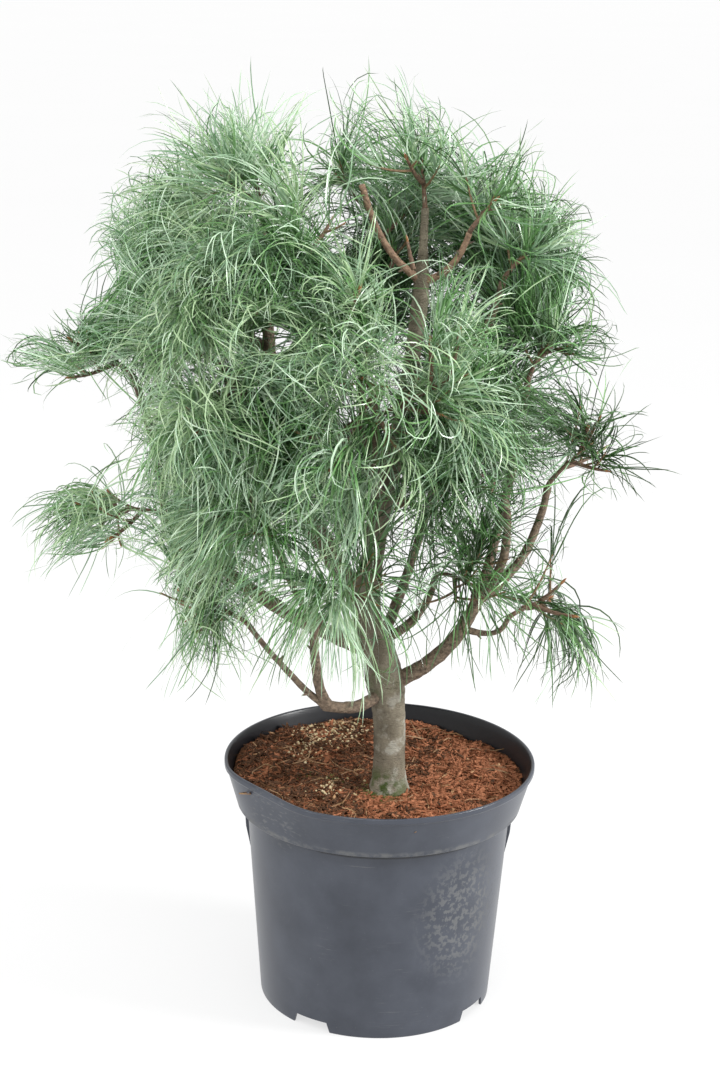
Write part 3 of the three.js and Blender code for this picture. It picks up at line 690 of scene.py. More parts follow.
def addGranules(rng):
    clusters = np.array(soil["clusters"])
    chosen = clusters[rng.integers(0, len(clusters), soil["granules"])]
    chosen = chosen + rng.normal(0, 12, (soil["granules"], 2))
    chosen = chosen[np.hypot(*chosen.T) < collarInside(soil["level"]) - 5]
    size = np.repeat(rng.uniform(0.6, 1.3, len(chosen))[:, None], 3, axis=1)
    template, faces = ball()
    ground = np.stack([*chosen.T, bedHeight(*chosen.T) + size[:, 2] + 0.4], -1)
    points = turned(template, size, *np.zeros((3, len(chosen))), ground)
    tan = dappled("tan granules", soil["granule"], 400, 0.6, depth=0.1)
    addSoilPiece("soil_granules", copies(points, faces), tan)


def addMoss(rng):
    homes = np.array(soil["mossHomes"])
    chosen = homes[rng.choice(len(homes), soil["tufts"], p=np.array(soil["mossShares"]))]
    chosen = chosen + rng.normal(0, 4.6, (soil["tufts"], 2))
    chosen = chosen[fromTrunk(chosen[:, 0], chosen[:, 1]) > 12.5]
    count, steps = len(chosen), 3
    way = unit(rng.normal(size=(count, 3)) * [0.7, 0.7, 0.3] + up)
    length = rng.uniform(2, 4.4, count)
    base = np.stack([*chosen.T, bedHeight(*chosen.T) - 0.4], -1)
    curves = base[:, None] + way[:, None] * (np.arange(steps + 1) / steps)[:, None] * length[:, None, None]
    widths, sideways = rng.uniform(0.6, 1.1, count), unit(rng.normal(size=(count, 3)))
    blades = ribbons(curves, widths, sideways, np.zeros(count))
    addSoilPiece("soil_moss", blades, dappled("moss", soil["moss"], 240, 0.9))


def addSoil():
    rng = np.random.default_rng(soil["seed"])
    damp = dappled("damp compost", soil["bed"], 190, 0.92, depth=0.8, shine=0.1)
    addSoilPiece("soil_bed", soilBed(), damp)
    addChips(rng)
    strands = fibres(soil["fibres"], rng, 13, 0.6, 1.5, 0.9)
    addSoilPiece("soil_fibres", strands, dappled("bark fibres", soil["red"], 250, 0.85, shine=0.15))
    strands = fibres(soil["dryNeedles"], rng, 62, 1.1, 2.6, 1.9)
    addSoilPiece("soil_dry_needles", strands, dappled("dry needles", soil["dry"], 150, 0.6))
    addGranules(rng)
    addMoss(rng)


addSoil()
print("compost made")

# Trunk and boughs, on the same paths as the solids
trunk = {
    "sides": 72, "rings": 330, "ridge": 0.34, "fine": 0.2,
    "stations": [  # height, place in x and y, radius
        (193, 8, -33, 17), (199, 8, -33, 14.8), (225, 8, -31.5, 13.2), (262, 7, -29.5, 13.2),
        (287, 3, -27, 14.6), (308, -2, -24, 12), (336, -13, -18, 10.8), (356, -15, -14, 11),
        (376, -11, -11, 9.2), (428, -4, -6, 8), (486, 9, 0, 7.2), (526, 16, 4, 6.6), (560, 20, 5, 6.2),
        (594, 23.5, 5, 6.6), (606, 24, 5.5, 4.6), (640, 25, 9, 3.4), (664, 25.5, 12, 3),
    ],
    "bark": ((0.12, 0.1, 0.07), (0.36, 0.32, 0.24)), "lichen": (0.58, 0.57, 0.5),
    "moss": (0.075, 0.11, 0.028), "lenticel": (0.05, 0.04, 0.028),
}
# Limbs: name, parent, share of the way along it, tip, bow, first and last radius
limbs = [
    ("left_stem", "trunk", 0.33, (-100, -6, 652), (-22, 6, -26), (9, 3.2)),
    ("leader_left", "trunk", 0.885, (-24, -12, 686), (-4, 0, -8), (3.8, 2.8)),
    ("leader_right", "trunk", 0.885, (60, -6, 650), (4, 0, -8), (3.8, 2.8)),
    ("bough_upper_left", "left_stem", 0.7, (-148, 22, 616), (-6, 4, -10), (3.6, 2.4)),
    ("bough_mid_left", "left_stem", 0.5, (-128, -34, 544), (-4, -6, -10), (3.8, 2.4)),
    ("bough_low_left", "trunk", 0.245, (-176, -20, 420), (-6, -6, -10), (7, 4.2)),
    ("bough_far_left", "bough_low_left", 1, (-203, 2, 528), (3, 4, -4), (3.8, 2.6)),
    ("low_arm", "trunk", 0.185, (-45, -66, 279), (4, -2, -7), (5.4, 4.2)),
    ("low_arm_rise", "low_arm", 1, (-53, -70, 354), (-5, -1, -3), (4, 3.5)),
    ("low_arm_left", "low_arm_rise", 1, (-86, -84, 424), (-2, -2, -5), (3.2, 2.3)),
    ("low_arm_right", "low_arm_rise", 1, (-33, -82, 374), (3, -1, -4), (3, 2.2)),
    ("low_arm_side", "low_arm", 1, (-106, -68, 346), (3, -2, -8), (2.8, 2)),
    ("bough_right", "trunk", 0.19, (76, -32, 362), (10, -3, -7), (6.8, 5)),
    ("right_inner", "bough_right", 1, (92, -46, 452), (12, -2, -3), (4.2, 2.8)),
    ("right_outer", "bough_right", 1, (130, 0, 446), (9, 0, -11), (4.2, 2.8)),
    ("right_low_twig", "bough_right", 0.74, (100, -36, 345), (6, -1, -9), (2.5, 1.8)),
    ("right_rise", "bough_right", 1, (112, 22, 526), (4, 8, -6), (4.2, 2.6)),
    ("bough_upper_right", "trunk", 0.7, (88, 8, 610), (12, 0, -12), (3.8, 2.6)),
    ("bough_mid_right", "trunk", 0.265, (42, 6, 366), (8, 2, -8), (4.2, 2.8)),
    ("bough_low_back", "trunk", 0.25, (40, 64, 428), (2, 12, -8), (4.8, 2.8)),
    ("back_left", "left_stem", 0.45, (-116, 76, 556), (-2, 8, -12), (3.6, 2.4)),
    ("back_low_left", "trunk", 0.36, (-94, 72, 440), (-6, 10, -14), (4.4, 2.6)),
    ("back_centre", "trunk", 0.5, (-24, 98, 524), (-4, 12, -14), (3.8, 2.6)),
    ("back_right", "trunk", 0.56, (72, 78, 566), (6, 10, -14), (4, 2.6)),
    ("front_left", "left_stem", 0.5, (-110, -68, 552), (-4, -8, -12), (3.4, 2.4)),
    ("front_bough", "trunk", 0.52, (-8, -76, 542), (-4, -10, -14), (3.8, 2.6)),
]
bough = {
    "sides": 18, "spacing": 2.4, "crook": 1.3, "ridge": 0.42, "seed": 31, "limbStep": 32, "spurs": 5,
    "old": ((0.08, 0.056, 0.038), (0.27, 0.2, 0.14)), "young": ((0.17, 0.1, 0.065), (0.4, 0.26, 0.17)),
}


def pathLengths(points):
    return np.linalg.norm(np.diff(points, axis=0), axis=1)


def reached(points):  # how far along a path each of its points is
    return np.concatenate([[0], np.cumsum(pathLengths(points))])


def along(path, share):  # place, heading and radius at a share of a path's length
    points, radii = path
    lengths = pathLengths(points)
    left = share * lengths.sum()
    for i, length in enumerate(lengths):
        if left <= length or i == len(lengths) - 1:
            t = min(left / length, 1)
            heading = unit(points[i + 1] - points[i])
            return mix(points[i], points[i + 1], t), heading, mix(radii[i], radii[i + 1], t)
        left -= length


def bent(start, middle, end, count):  # equally spaced places on a curve with one bend
    t = np.linspace(0, 1, 201)[:, None]
    curve = start * (1 - t) ** 2 + middle * 2 * t * (1 - t) + end * t ** 2
    marks = reached(curve)
    share = np.interp(np.linspace(0, marks[-1], count), marks, t[:, 0])[:, None]
    return start * (1 - share) ** 2 + middle * 2 * share * (1 - share) + end * share ** 2


stations = np.array(trunk["stations"], float)
paths = {"trunk": (stations[:, [1, 2, 0]], stations[:, 3])}  # coarse, as in the solids


def trunkPath():  # a smooth line of fine steps through the stations
    z = np.linspace(stations[0, 0] - 5, stations[-1, 0] + 2, trunk["rings"])
    kernel = np.exp(-np.linspace(-2, 2, 13) ** 2)
    kernel /= kernel.sum()
    columns = [np.interp(z, stations[:, 0], stations[:, k]) for k in (1, 2, 3)]
    x, y, r = (np.convolve(np.pad(c, 6, mode="edge"), kernel, mode="valid") for c in columns)
    return np.stack([x, y, z], -1), r


finePaths = {"trunk": trunkPath()}


def limbPath(bend, radii, length):  # a crooked line of fine steps, thicker at its root
    count = round(length / bough["spacing"])
    t = np.linspace(0, 1, count)
    places = bent(*bend, count)
    places = places + drift(places, 26, bough["seed"], 50) * bough["crook"] * np.sin(np.pi * t)[:, None]
    flare = 1 + 0.42 * np.exp(-t * length / 7) + 0.1 * np.exp(-(1 - t) * length / 6)
    return places, np.linspace(*radii, count) * flare


def placeLimbs():
    for name, parent, share, tip, bow, radii in limbs:
        start, heading, _ = along(paths[parent], share)
        if share == 1:
            start = start - heading * radii[0] * 0.5
        tip = np.array(tip, float)
        bend = (start, mix(start, tip, 0.5) + 2 * np.array(bow, float), tip)
        length = pathLengths(bent(*bend, 201)).sum()
        steps = max(3, round(length / bough["limbStep"]))
        paths[name] = (bent(*bend, steps + 1), np.linspace(*radii, steps + 1))
        finePaths[name] = limbPath(bend, radii, length)


placeLimbs()


def trunkMesh():
    path, radii = finePaths["trunk"]
    points, outward, faces = tubes(path[None], radii[None], trunk["sides"])
    points, outward = points[0], outward[0]
    wrinkles = noise(points * [1, 1, 2.2], 6, 1) * trunk["ridge"]
    wrinkles = wrinkles + noise(points * [1, 1, 3.5], 2.2, 2) * trunk["fine"]
    swell = noise(points, 24, 3) * 0.055 * radii[:, None]
    for name, parent, *_ in limbs:  # a collar where each limb leaves
        if parent == "trunk":
            root = finePaths[name][0][3]
            near = np.linalg.norm(points - root, axis=-1)
            swell = swell + 1.1 * np.exp(-(near / (8 + radii[:, None])) ** 2)
    low = np.clip((215 - points[..., 2]) / 22, 0, 1) ** 2  # root flare in ridges
    turn = np.arctan2(outward[..., 1], outward[..., 0])
    swell = swell + low * (0.8 + 0.9 * np.sin(turn * 5 + 1))
    return (points + outward * (wrinkles + swell)[..., None]).reshape(-1, 3), faces


def boughMesh(name, slim=1.0):
    path, radii = finePaths[name]
    radii = radii * slim
    points, outward, faces = tubes(path[None], radii[None], bough["sides"])
    rough = noise(points, 3.2, 7) * bough["ridge"] + noise(points, 7.5, 8) * 0.3
    knots = np.maximum(noise(points, 9, 9) - 0.45, 0) * 2.2
    thick = np.clip(radii / 5, 0.4, 1)[None, :, None]
    return (points + outward * ((rough + knots) * thick)[..., None]).reshape(-1, 3), faces


def spurMesh():  # stubs of shed twigs
    rng = np.random.default_rng(bough["seed"])
    curves, radii = [], []
    for name, *_ in limbs:
        path, girth = finePaths[name]
        for k in rng.integers(len(path) // 6, len(path) - 4, bough["spurs"]):
            heading = unit(path[k + 1] - path[k])
            way = leaning(heading, rng.uniform(0.7, 1.3), rng.random() * 2 * np.pi)
            length = girth[k] + rng.uniform(1.5, 6)
            curves.append(path[k] + way * np.linspace(0, length, 4)[:, None])
            radii.append(np.array([1.5, 1.1, 0.9, 0.35]) * rng.uniform(0.7, 1.2))
    return tubeMesh(curves, radii, 7)


def trunkFinish():
    finish = Finish("trunk bark", roughness=0.82, **{"Specular IOR Level": 0.25})
    patches = finish.grain(36, (1, 1, 0.6), 0.36, 0.64)
    fine = finish.grain(420, (1, 1, 2.4), 0.3, 0.7)
    lines = finish.grain(75, (1, 1, 6), 0.6, 0.68)
    pale = finish.times(finish.grain(48, low=0.52, high=0.6), finish.zone((4, -34, 232), 62, (1, 1, 0.8)))
    mossy = finish.plus(finish.zone((4, -40, 196), 26), finish.zone((0, -30, 290), 20))
    mossy = finish.times(mossy, finish.grain(85, low=0.44, high=0.56))
    colour = finish.colour(patches, *trunk["bark"])
    colour = finish.marked(colour, fine, 0.35, trunk["bark"][0])
    colour = finish.marked(colour, lines, 0.55, trunk["lenticel"])
    colour = finish.marked(colour, pale, 0.5, trunk["lichen"])
    finish.feed("Base Color", finish.colour(mossy, colour, trunk["moss"]))
    finish.feed("Roughness", finish.ranged(fine, 0.7, 0.95))
    finish.bump(finish.less(fine, finish.times(lines, 0.7)), 0.6)
    return finish.material


def addTrunk():
    addPiece("trunk_bark", *trunkMesh(), trunkFinish(), "bark", ["trunk"])
    leaders = ["leader_left", "leader_right"]
    old = [limb[0] for limb in limbs if limb[0] not in leaders]
    bark = dappled("bough bark", bough["old"], 260, 0.86, (1, 1, 1.6), 0.6)
    addPiece("bough_bark", *joined([boughMesh(name) for name in old]), bark, "bark", old)
    young = dappled("young bough bark", bough["young"], 300, 0.7, (1, 1, 1.6), 0.4)
    addPiece("leader_bark", *joined([boughMesh(name, 0.8) for name in leaders]), young, "bark", leaders)
    addPiece("bough_spurs", *spurMesh(), bark, "bark", old)


addTrunk()
print("trunk and boughs made")

# Masses of needles: name, limb, share of the way along it (1 is its tip), middle, radius, droop, fullness
masses = [
    ("top_left", "leader_left", 1, (-38, -15, 724), 69, 0.5, 0.6),
    ("leader", "trunk", 1, (20, 12, 712), 71, 0.5, 0.55),
    ("top_right", "leader_right", 1, (84, -5, 680), 69, 0.6, 0.6),
    ("left_crown", "left_stem", 1, (-107, -5, 690), 76, 0.7, 0.85),
    ("left_fork", "left_stem", 0.74, (-62, -62, 642), 65, 1, 0.8),
    ("upper_left", "bough_upper_left", 1, (-181, 20, 632), 80, 1, 1),
    ("far_left", "bough_far_left", 1, (-238, 5, 546), 71, -0.8, 1.2),
    ("mid_left", "bough_mid_left", 1, (-160, -42, 558), 76, 1.1, 1),
    ("low_left", "bough_low_left", 1, (-217, -15, 422), 72, 1.6, 0.7),
    ("arm_left", "low_arm_left", 1, (-104, -98, 446), 78, 1.7, 0.8),
    ("arm_right", "low_arm_right", 1, (-30, -96, 384), 62, 2.5, 1.2),
    ("arm_side", "low_arm_side", 1, (-140, -66, 362), 70, 2.2, 1.15),
    ("right_inner", "right_inner", 1, (68, -64, 474), 69, 1.2, 0.8),
    ("right_far", "right_outer", 1, (156, 0, 474), 69, 0.7, 0.38),
    ("right_low", "right_low_twig", 1, (122, -27, 354), 74, 2, 0.34),
    ("right", "right_rise", 1, (122, 24, 552), 76, 0.9, 1),
    ("upper_right", "bough_upper_right", 1, (110, 10, 636), 76, 0.8, 0.95),
    ("mid_right", "bough_mid_right", 1, (60, -8, 366), 70, 1.5, 0.65),
    ("low_back", "bough_low_back", 0.86, (0, 84, 414), 74, 1.3, 0.5),
    ("low_back_right", "bough_low_back", 1, (80, 88, 462), 76, 1.1, 0.6),
    ("back_left", "back_left", 1, (-140, 106, 582), 82, 1, 0.7),
    ("back_low_left", "back_low_left", 1, (-120, 96, 466), 78, 1.2, 0.6),
    ("back_centre", "back_centre", 1, (-28, 130, 546), 82, 1, 0.75),
    ("back_right", "back_right", 1, (88, 106, 592), 82, 1, 0.7),
    ("back_top", "trunk", 0.8, (-20, 88, 656), 82, 0.8, 0.8),
    ("front_left", "front_left", 1, (-130, -98, 516), 71, 1.3, 0.85),
    ("front_upper_left", "front_left", 0.8, (-108, -92, 602), 73, 1.1, 1),
    ("front_centre", "front_bough", 0.9, (-33, -112, 588), 73, 1.2, 0.75),
    ("front_right", "front_bough", 0.8, (42, -102, 552), 71, 1.2, 0.55),
    ("front_low", "front_bough", 1, (-35, -116, 494), 71, 1.4, 0.5),
    ("upper_front", "trunk", 0.8, (16, -56, 645), 67, 0.9, 0.3),
]
massNodes = ["needles_" + mass[0] for mass in masses]
middles = np.array([mass[3] for mass in masses], float)
radiusOf, droopOf, fullness = (np.array([mass[k] for mass in masses], float) for k in (4, 5, 6))
crown = {
    "middle": (-20, 0, 520), "half": (250, 185, 260), "eggStretch": 0.28, "shoots": 5, "clearance": 0.35,
    "eyeDistance": 1710, "eyeHeight": 907, "hang": 38, "bareEdge": 45,
    "bareShare": 0.2,  # openings with this share of needles or less have no shoots either
}
shoot = {
    "rootRadius": 2.1, "tipRadius": 1.1, "spread": 54, "length": 0.73, "rings": 16, "shown": 13, "sides": 8,
    "bare": 0.58, "bud": (5, 9), "bark": ((0.085, 0.05, 0.032), (0.23, 0.14, 0.09)),
}
twig = {
    "rootRadius": 1.15, "tipRadius": 0.7, "perShoot": 3, "lengths": (26, 50), "rings": 7, "sides": 6,
    "bare": 0.32, "bud": (2.5, 4), "bark": ((0.14, 0.085, 0.042), (0.3, 0.2, 0.11)), "seed": 41,
}
bud = {
    "shares": (-0.3, 0.05, 0.35, 0.7, 1.0), "girths": (0.42, 0.95, 1.0, 0.6, 0.06), "slimness": 0.19,
    "sides": 6, "colours": ((0.2, 0.075, 0.025), (0.42, 0.2, 0.08)),
}
needle = {
    "lengths": (80, 110), "width": 1.2, "steps": 9, "spacing": 0.62, "perBundle": 5, "seed": 51,
    "flow": 0.9, "flowSize": 75, "sweep": 0.7, "curl": 2.0,
    "curlShares": (0.85, 0.45, 0.35),  # of the spray, the bundle and the needle itself
    "overReach": 8, "fringe": 60, "thinning": 0.42, "least": (22, 58), "wisps": 0.16,
    "wispReach": (70, 20), "topFrom": 680, "lowest": 262, "beyondBox": (15, 11, 20),
    "trims": 4, "trim": 0.85,
}
outline = {"middle": (-36, 0, 500), "half": (222, 1e6, 272), "power": 2.5, "from": 560, "bareEdge": 49}
# Openings in the crown, which slant down to the back: middle, half size, share of the needles kept
openings = [
    ((-270, 0, 610), (55, 240, 25), 0.1),  # over the far left brush, under it and where it joins
    ((-290, 0, 482), (64, 240, 50), 0.08),
    ((-228, 0, 512), (28, 240, 18), 0.15),
    ((-232, 0, 316), (58, 240, 66), 0.05),
    ((-194, 0, 390), (15, 240, 38), 0.3),  # under the low left brush
    ((185, 0, 392), (40, 240, 42), 0.1),  # under and over the far right brush
    ((178, 0, 530), (38, 240, 20), 0.1),
    ((158, 0, 590), (22, 240, 11), 0.25),
    ((-60, 0, 720), (11, 200, 32), 0.2),  # between the top brushes
    ((-4, 0, 722), (9, 200, 26), 0.35),
    ((70, 0, 734), (22, 200, 27), 0.2),
    ((66, 0, 768), (32, 200, 27), 0.25),
    ((-100, 0, 765), (34, 200, 27), 0.25),
    ((120, 0, 704), (16, 200, 24), 0.25),
    ((-44, 0, 656), (11, 200, 32), 0.25),
    ((2, -90, 330), (21, 80, 52), 0.22),  # in front of the lower trunk
    ((36, -40, 305), (26, 80, 44), 0.4),
    ((4, -80, 412), (17, 90, 50), 0.3),
    ((20, -76, 580), (14, 70, 45), 0.1),  # in front of the upper trunk and the leaders
    ((-25, -70, 697), (12, 66, 35), 0.15),
    ((0, -66, 648), (13, 66, 32), 0.15),
    ((23, -64, 670), (13, 66, 50), 0.15),
    ((54, -66, 667), (14, 66, 43), 0.15),
    ((8, -84, 528), (11, 70, 34), 0.3),
    ((-1, -84, 472), (10, 70, 34), 0.35),
    ((-22, -84, 500), (8, 74, 34), 0.35),
    ((-92, 0, 561), (16, 240, 14), 0.12),  # sky in the middle of the left side
    ((-58, 0, 264), (28, 240, 12), 0.4),  # under the low arm's needles
    ((190, 0, 374), (46, 240, 36), 0.15),  # among and under the right brushes
    ((126, 0, 534), (13, 240, 11), 0.3),
    ((192, 0, 486), (18, 240, 18), 0.45),
    ((198, 0, 330), (24, 240, 40), 0.25),
    ((52, 0, 300), (40, 240, 48), 0.45),
    ((30, 0, 754), (18, 200, 26), 0.45),  # between the top brushes
    ((-222, 0, 458), (30, 240, 25), 0.2),  # over and under the low left brush
    ((-200, 0, 300), (34, 240, 60), 0.15),
    ((-150, 0, 258), (44, 240, 22), 0.3),
    ((124, 0, 412), (14, 240, 34), 0.35),  # among the right boughs
    ((98, 0, 345), (31, 240, 52), 0.22),
]


def reachOf(points, index):  # how far a mass reaches in the direction of each point
    middle = middles[index]
    outward = unit(middle - np.array(crown["middle"]))
    offset = points - middle
    towards = dot(offset, outward) / np.maximum(np.linalg.norm(offset, axis=-1, keepdims=True), 1)
    return radiusOf[index] * (1 + crown["eggStretch"] * (1 - towards[..., 0]))


def insideSpace(point, index, margin):  # whether a point is within a mass's reach and nearer it than others
    offset = point - middles[index]
    if np.linalg.norm(offset) > reachOf(point, index) - margin:
        return False
    across = np.delete(middles, index, axis=0) - middles[index]
    half = np.linalg.norm(across, axis=1) / 2
    return bool(np.all(unit(across) @ offset < half - margin))


def clearOfLimbs(start, end):  # whether a shoot between two places touches no trunk or bough
    line = mix(start, end, np.linspace(0, 1, 15)[:, None])
    for points, radii in finePaths.values():
        gaps = np.linalg.norm(line[:, None] - points[None], axis=-1) - radii
        if gaps.min() < 2 + crown["clearance"]:
            return False
    return True


def seenAt(points):  # points moved in x and z to where they show on the plane y = 0 from the front
    share = 1 / (1 + points[..., 1] / crown["eyeDistance"])
    z = crown["eyeHeight"] + (points[..., 2] - crown["eyeHeight"]) * share
    return np.stack([points[..., 0] * share, points[..., 1], z], -1)


def beyondMasses(points, longer=crown["hang"]):  # how far each point lies outside the reach of every mass
    beyond = np.full(points.shape[:-1], 1e3)
    for index in range(len(masses)):
        offset = points - middles[index]
        far = np.linalg.norm(offset, axis=-1)
        below = np.maximum(-offset[..., 2] / np.maximum(far, 1), 0)
        hang = longer * max(droopOf[index] - 1, 0) * below ** 0.5  # weeping masses reach further down
        beyond = np.minimum(beyond, far - reachOf(points, index) - hang)
    return beyond


def beyondOutline(points):  # how far each point lies outside the crown's broad flat top
    offset = (seenAt(points) - outline["middle"]) / outline["half"]
    square = np.sum(np.abs(offset) ** outline["power"], axis=-1) ** (1 / outline["power"])
    return np.where(points[..., 2] > outline["from"], (square - 1) * outline["half"][0], -1e3)


def inOpening(curves, middle, half):
    return np.linalg.norm((seenAt(curves) - np.array(middle, float)) / half, axis=-1) < 1


def interpolated(path, marks, wanted):
    return np.stack([np.interp(wanted, marks, path[:, k]) for k in range(3)], -1)


def trimmed(path):  # a shoot or twig up to where it comes too near the outside
    beyond = np.maximum(beyondMasses(path, 0) + crown["bareEdge"], beyondOutline(path) + outline["bareEdge"])
    near = beyond > 0
    for middle, half, share in openings:
        if share <= crown["bareShare"]:
            near |= inOpening(path, middle, half)
    count = int(np.argmax(near)) if near.any() else len(path)
    if count < 4:
        return None
    return interpolated(path, np.arange(len(path)), np.linspace(0, count - 1, len(path)))


def growStem(index):  # root, knee and tip of the stem of a mass
    limb, share = masses[index][1:3]
    root, heading, _ = along(paths[limb], share)
    onSide = share != 1
    start = root if onSide else root + heading * crown["clearance"]
    way = unit(middles[index] - start)
    knee = start + (way if onSide else heading) * 8
    return start, knee, middles[index] + way * radiusOf[index] * 0.3


def growShoots(index):  # the stem and the shoots that branch from it, by the rule that made the solids
    random = randomFrom(1000 + index * 77)
    start, knee, tip = growStem(index)
    heading = unit(tip - knee)
    grown = [bent(start, knee, tip, shoot["rings"])[:shoot["shown"]]]
    for i in range(1, crown["shoots"]):
        share = 0.1 + (0.8 * (i - 0.5)) / (crown["shoots"] - 1)
        spread = math.radians(shoot["spread"] * (0.8 + 0.4 * random()))
        way = leaning(heading, spread, goldenAngle * i * 2 + random())
        way = unit(way + up * 0.2)
        base = mix(knee, tip, share)
        end = base + way * radiusOf[index] * shoot["length"] * (0.85 + 0.3 * random())
        if insideSpace(end, index, shoot["rootRadius"]) and clearOfLimbs(base, end):
            sag = mix(base, end, 0.5) - up * 0.14 * np.linalg.norm(end - base)
            grown.append(bent(base, sag, end, shoot["rings"])[:shoot["shown"]])
    return [path for path in map(trimmed, grown) if path is not None]


def growTwigs(path, index, rng):  # finer twigs on a shoot, rising or hanging a little, within the same reach
    rise = 0.45 - 0.25 * droopOf[index]
    grown = []
    for k in range(twig["perShoot"]):
        share = 0.34 + 0.6 * (k + 0.7 * rng.random()) / twig["perShoot"]
        place, heading, _ = along((path, np.ones(len(path))), share)
        way = leaning(heading, rng.uniform(0.6, 1.1), goldenAngle * k + rng.random() * 2)
        length = rng.uniform(*twig["lengths"])
        end = place + unit(way + up * rise) * length
        grown.append(trimmed(bent(place, mix(place, end, 0.5) - up * 0.16 * length, end, twig["rings"])))
    return [small for small in grown if small is not None]


def growBundles(path, bare, index, rng):  # roots and headings of the bundles of needles on a shoot or twig
    total = pathLengths(path).sum()
    count = max(4, round(total * (1 - bare) / needle["spacing"] * fullness[index]))
    s = bare + (1 - bare) * (np.arange(count) + 0.6) / count
    marks = reached(path) / total
    roots, ahead, behind = (interpolated(path, marks, np.clip(s + d, 0, 1)) for d in (0, 0.02, -0.02))
    angle = np.radians(58 - 40 * ((s - bare) / (1 - bare)) ** 1.5 + rng.normal(0, 6, count))
    turn = goldenAngle * np.arange(count) + rng.random() * 6.28
    return roots, leaning(unit(ahead - behind), angle, turn), np.full(count, index)


def sweepOf(path, index, lean):  # the way the needles of a spray are combed
    outward = unit((path[-1] - crown["middle"]) * [1, 1, 0.4])
    return unit(0.9 * outward + 0.75 * unit(path[-1] - path[-3]) + 0.65 * lean - 0.22 * droopOf[index] * up)


def needleCurves(roots, ways, index, sweep, length, droop, curl, stiff):
    steps = needle["steps"]
    place, way = roots.copy(), ways.copy()
    curves = [place]
    for i in range(steps):
        t = (i + 0.5) / steps
        way = way + sweep * (needle["sweep"] * (0.35 + 0.9 * t) / steps)
        way = way + np.cross(curl, way) * ((0.3 + 1.4 * t) / steps)
        flow = drift(place, needle["flowSize"], needle["seed"], 400)  # gathers needles into locks
        way = way + flow * (needle["flow"] * (0.5 + t) / steps)
        way = way - up * (droop * (0.1 + 2.1 * t ** 1.5) / steps)[:, None]
        share = np.linalg.norm(place - middles[index], axis=1)
        share = share / (reachOf(place, index) + needle["overReach"])
        outward = unit(place - crown["middle"])
        pull = smooth((share - 0.85) / 0.4) * stiff * np.maximum(dot(way, outward)[:, 0], 0)
        way = unit(way - outward * pull[:, None])
        place = place + way * (length / steps)[:, None]
        curves.append(place)
    return np.stack(curves, axis=1)


def tooFar(curves, allowed):  # needles that pass the reach that they are allowed, or the crown's box
    points = curves[:, [4, 6, 7, 8, 9]]  # the outer places on each needle
    least, most = (np.array(corner) / mm for corner in cadBox)
    outside = np.maximum(least - needle["beyondBox"] - points, points - most - needle["beyondBox"])
    outside = np.maximum(outside.max(axis=-1), needle["lowest"] - points[..., 2])
    beyond = np.maximum(beyondMasses(points), beyondOutline(points))
    return (beyond.max(axis=1) > allowed) | (outside.max(axis=1) > 0)


def keptByOpenings(curves, rng):  # in each opening, only a share of the needles stays
    kept = np.ones(len(curves), bool)
    for middle, half, share in openings:
        inside = inOpening(curves, middle, half).any(axis=1)
        kept &= ~inside | (rng.random(len(curves)) < share)
    return kept


def growNeedles(bundles, sweeps, rng):  # curves of the needles, with the spray and the bundle of each
    roots, ways, index = (np.concatenate([b[k] for b in bundles]) for k in range(3))
    sprays = np.concatenate([np.full(len(b[0]), i) for i, b in enumerate(bundles)])
    each = np.repeat(np.arange(len(roots)), needle["perBundle"])
    spray, count = sprays[each], len(each)
    ofSpray, ofBundle, ofNeedle = needle["curlShares"]
    curl = ofSpray * rng.normal(size=(len(bundles), 3))[spray]
    curl = curl + ofBundle * rng.normal(size=(len(roots), 3))[each]
    curl = curl + ofNeedle * rng.normal(size=(count, 3))
    curl = curl * (needle["curl"] * (0.25 + 0.9 * rng.random(count) ** 2.2))[:, None]
    heading = unit(ways[each] + rng.normal(0, 0.1, (count, 3)))
    length = rng.uniform(*needle["lengths"], len(bundles))[spray] * rng.uniform(0.86, 1.06, count)
    droop = droopOf[index][each] * rng.uniform(0.5, 1.25, count)
    stiff = rng.uniform(0, 0.2, count)
    sweep = np.array(sweeps)[spray]
    allowed = needle["overReach"] - needle["fringe"] * rng.random(count) ** needle["thinning"]
    wispy = np.where(roots[:, 2] > needle["topFrom"], *needle["wispReach"])[each]
    allowed = allowed + wispy * (rng.random(count) < needle["wisps"])
    least = rng.uniform(*needle["least"], count)
    allowed = np.maximum(allowed, np.maximum(beyondMasses(roots), beyondOutline(roots))[each] + least)
    for _ in range(needle["trims"]):  # a needle that passes its reach is grown again, shorter
        curves = needleCurves(roots[each], heading, index[each], sweep, length, droop, curl, stiff)
        beyond = tooFar(curves, allowed)
        length = np.where(beyond, length * needle["trim"], length)
    kept = ~beyond & keptByOpenings(curves, rng)
    return curves[kept], spray[kept], each[kept]


tints = {
    "deep": ((0.014, 0.045, 0.008), (0.04, 0.095, 0.024)),
    "dark": ((0.042, 0.115, 0.028), (0.088, 0.19, 0.06)),
    "mid": ((0.1, 0.25, 0.07), (0.19, 0.37, 0.135)),
    "blue": ((0.165, 0.305, 0.165), (0.3, 0.45, 0.29)),
    "pale": ((0.37, 0.55, 0.36), (0.61, 0.75, 0.57)),
    "lime": ((0.26, 0.43, 0.2), (0.48, 0.61, 0.38)),
}
tintLimits = [0.18, 0.37, 0.57, 0.75, 0.91]  # shares of the sprays, from the darkest, where the tint changes


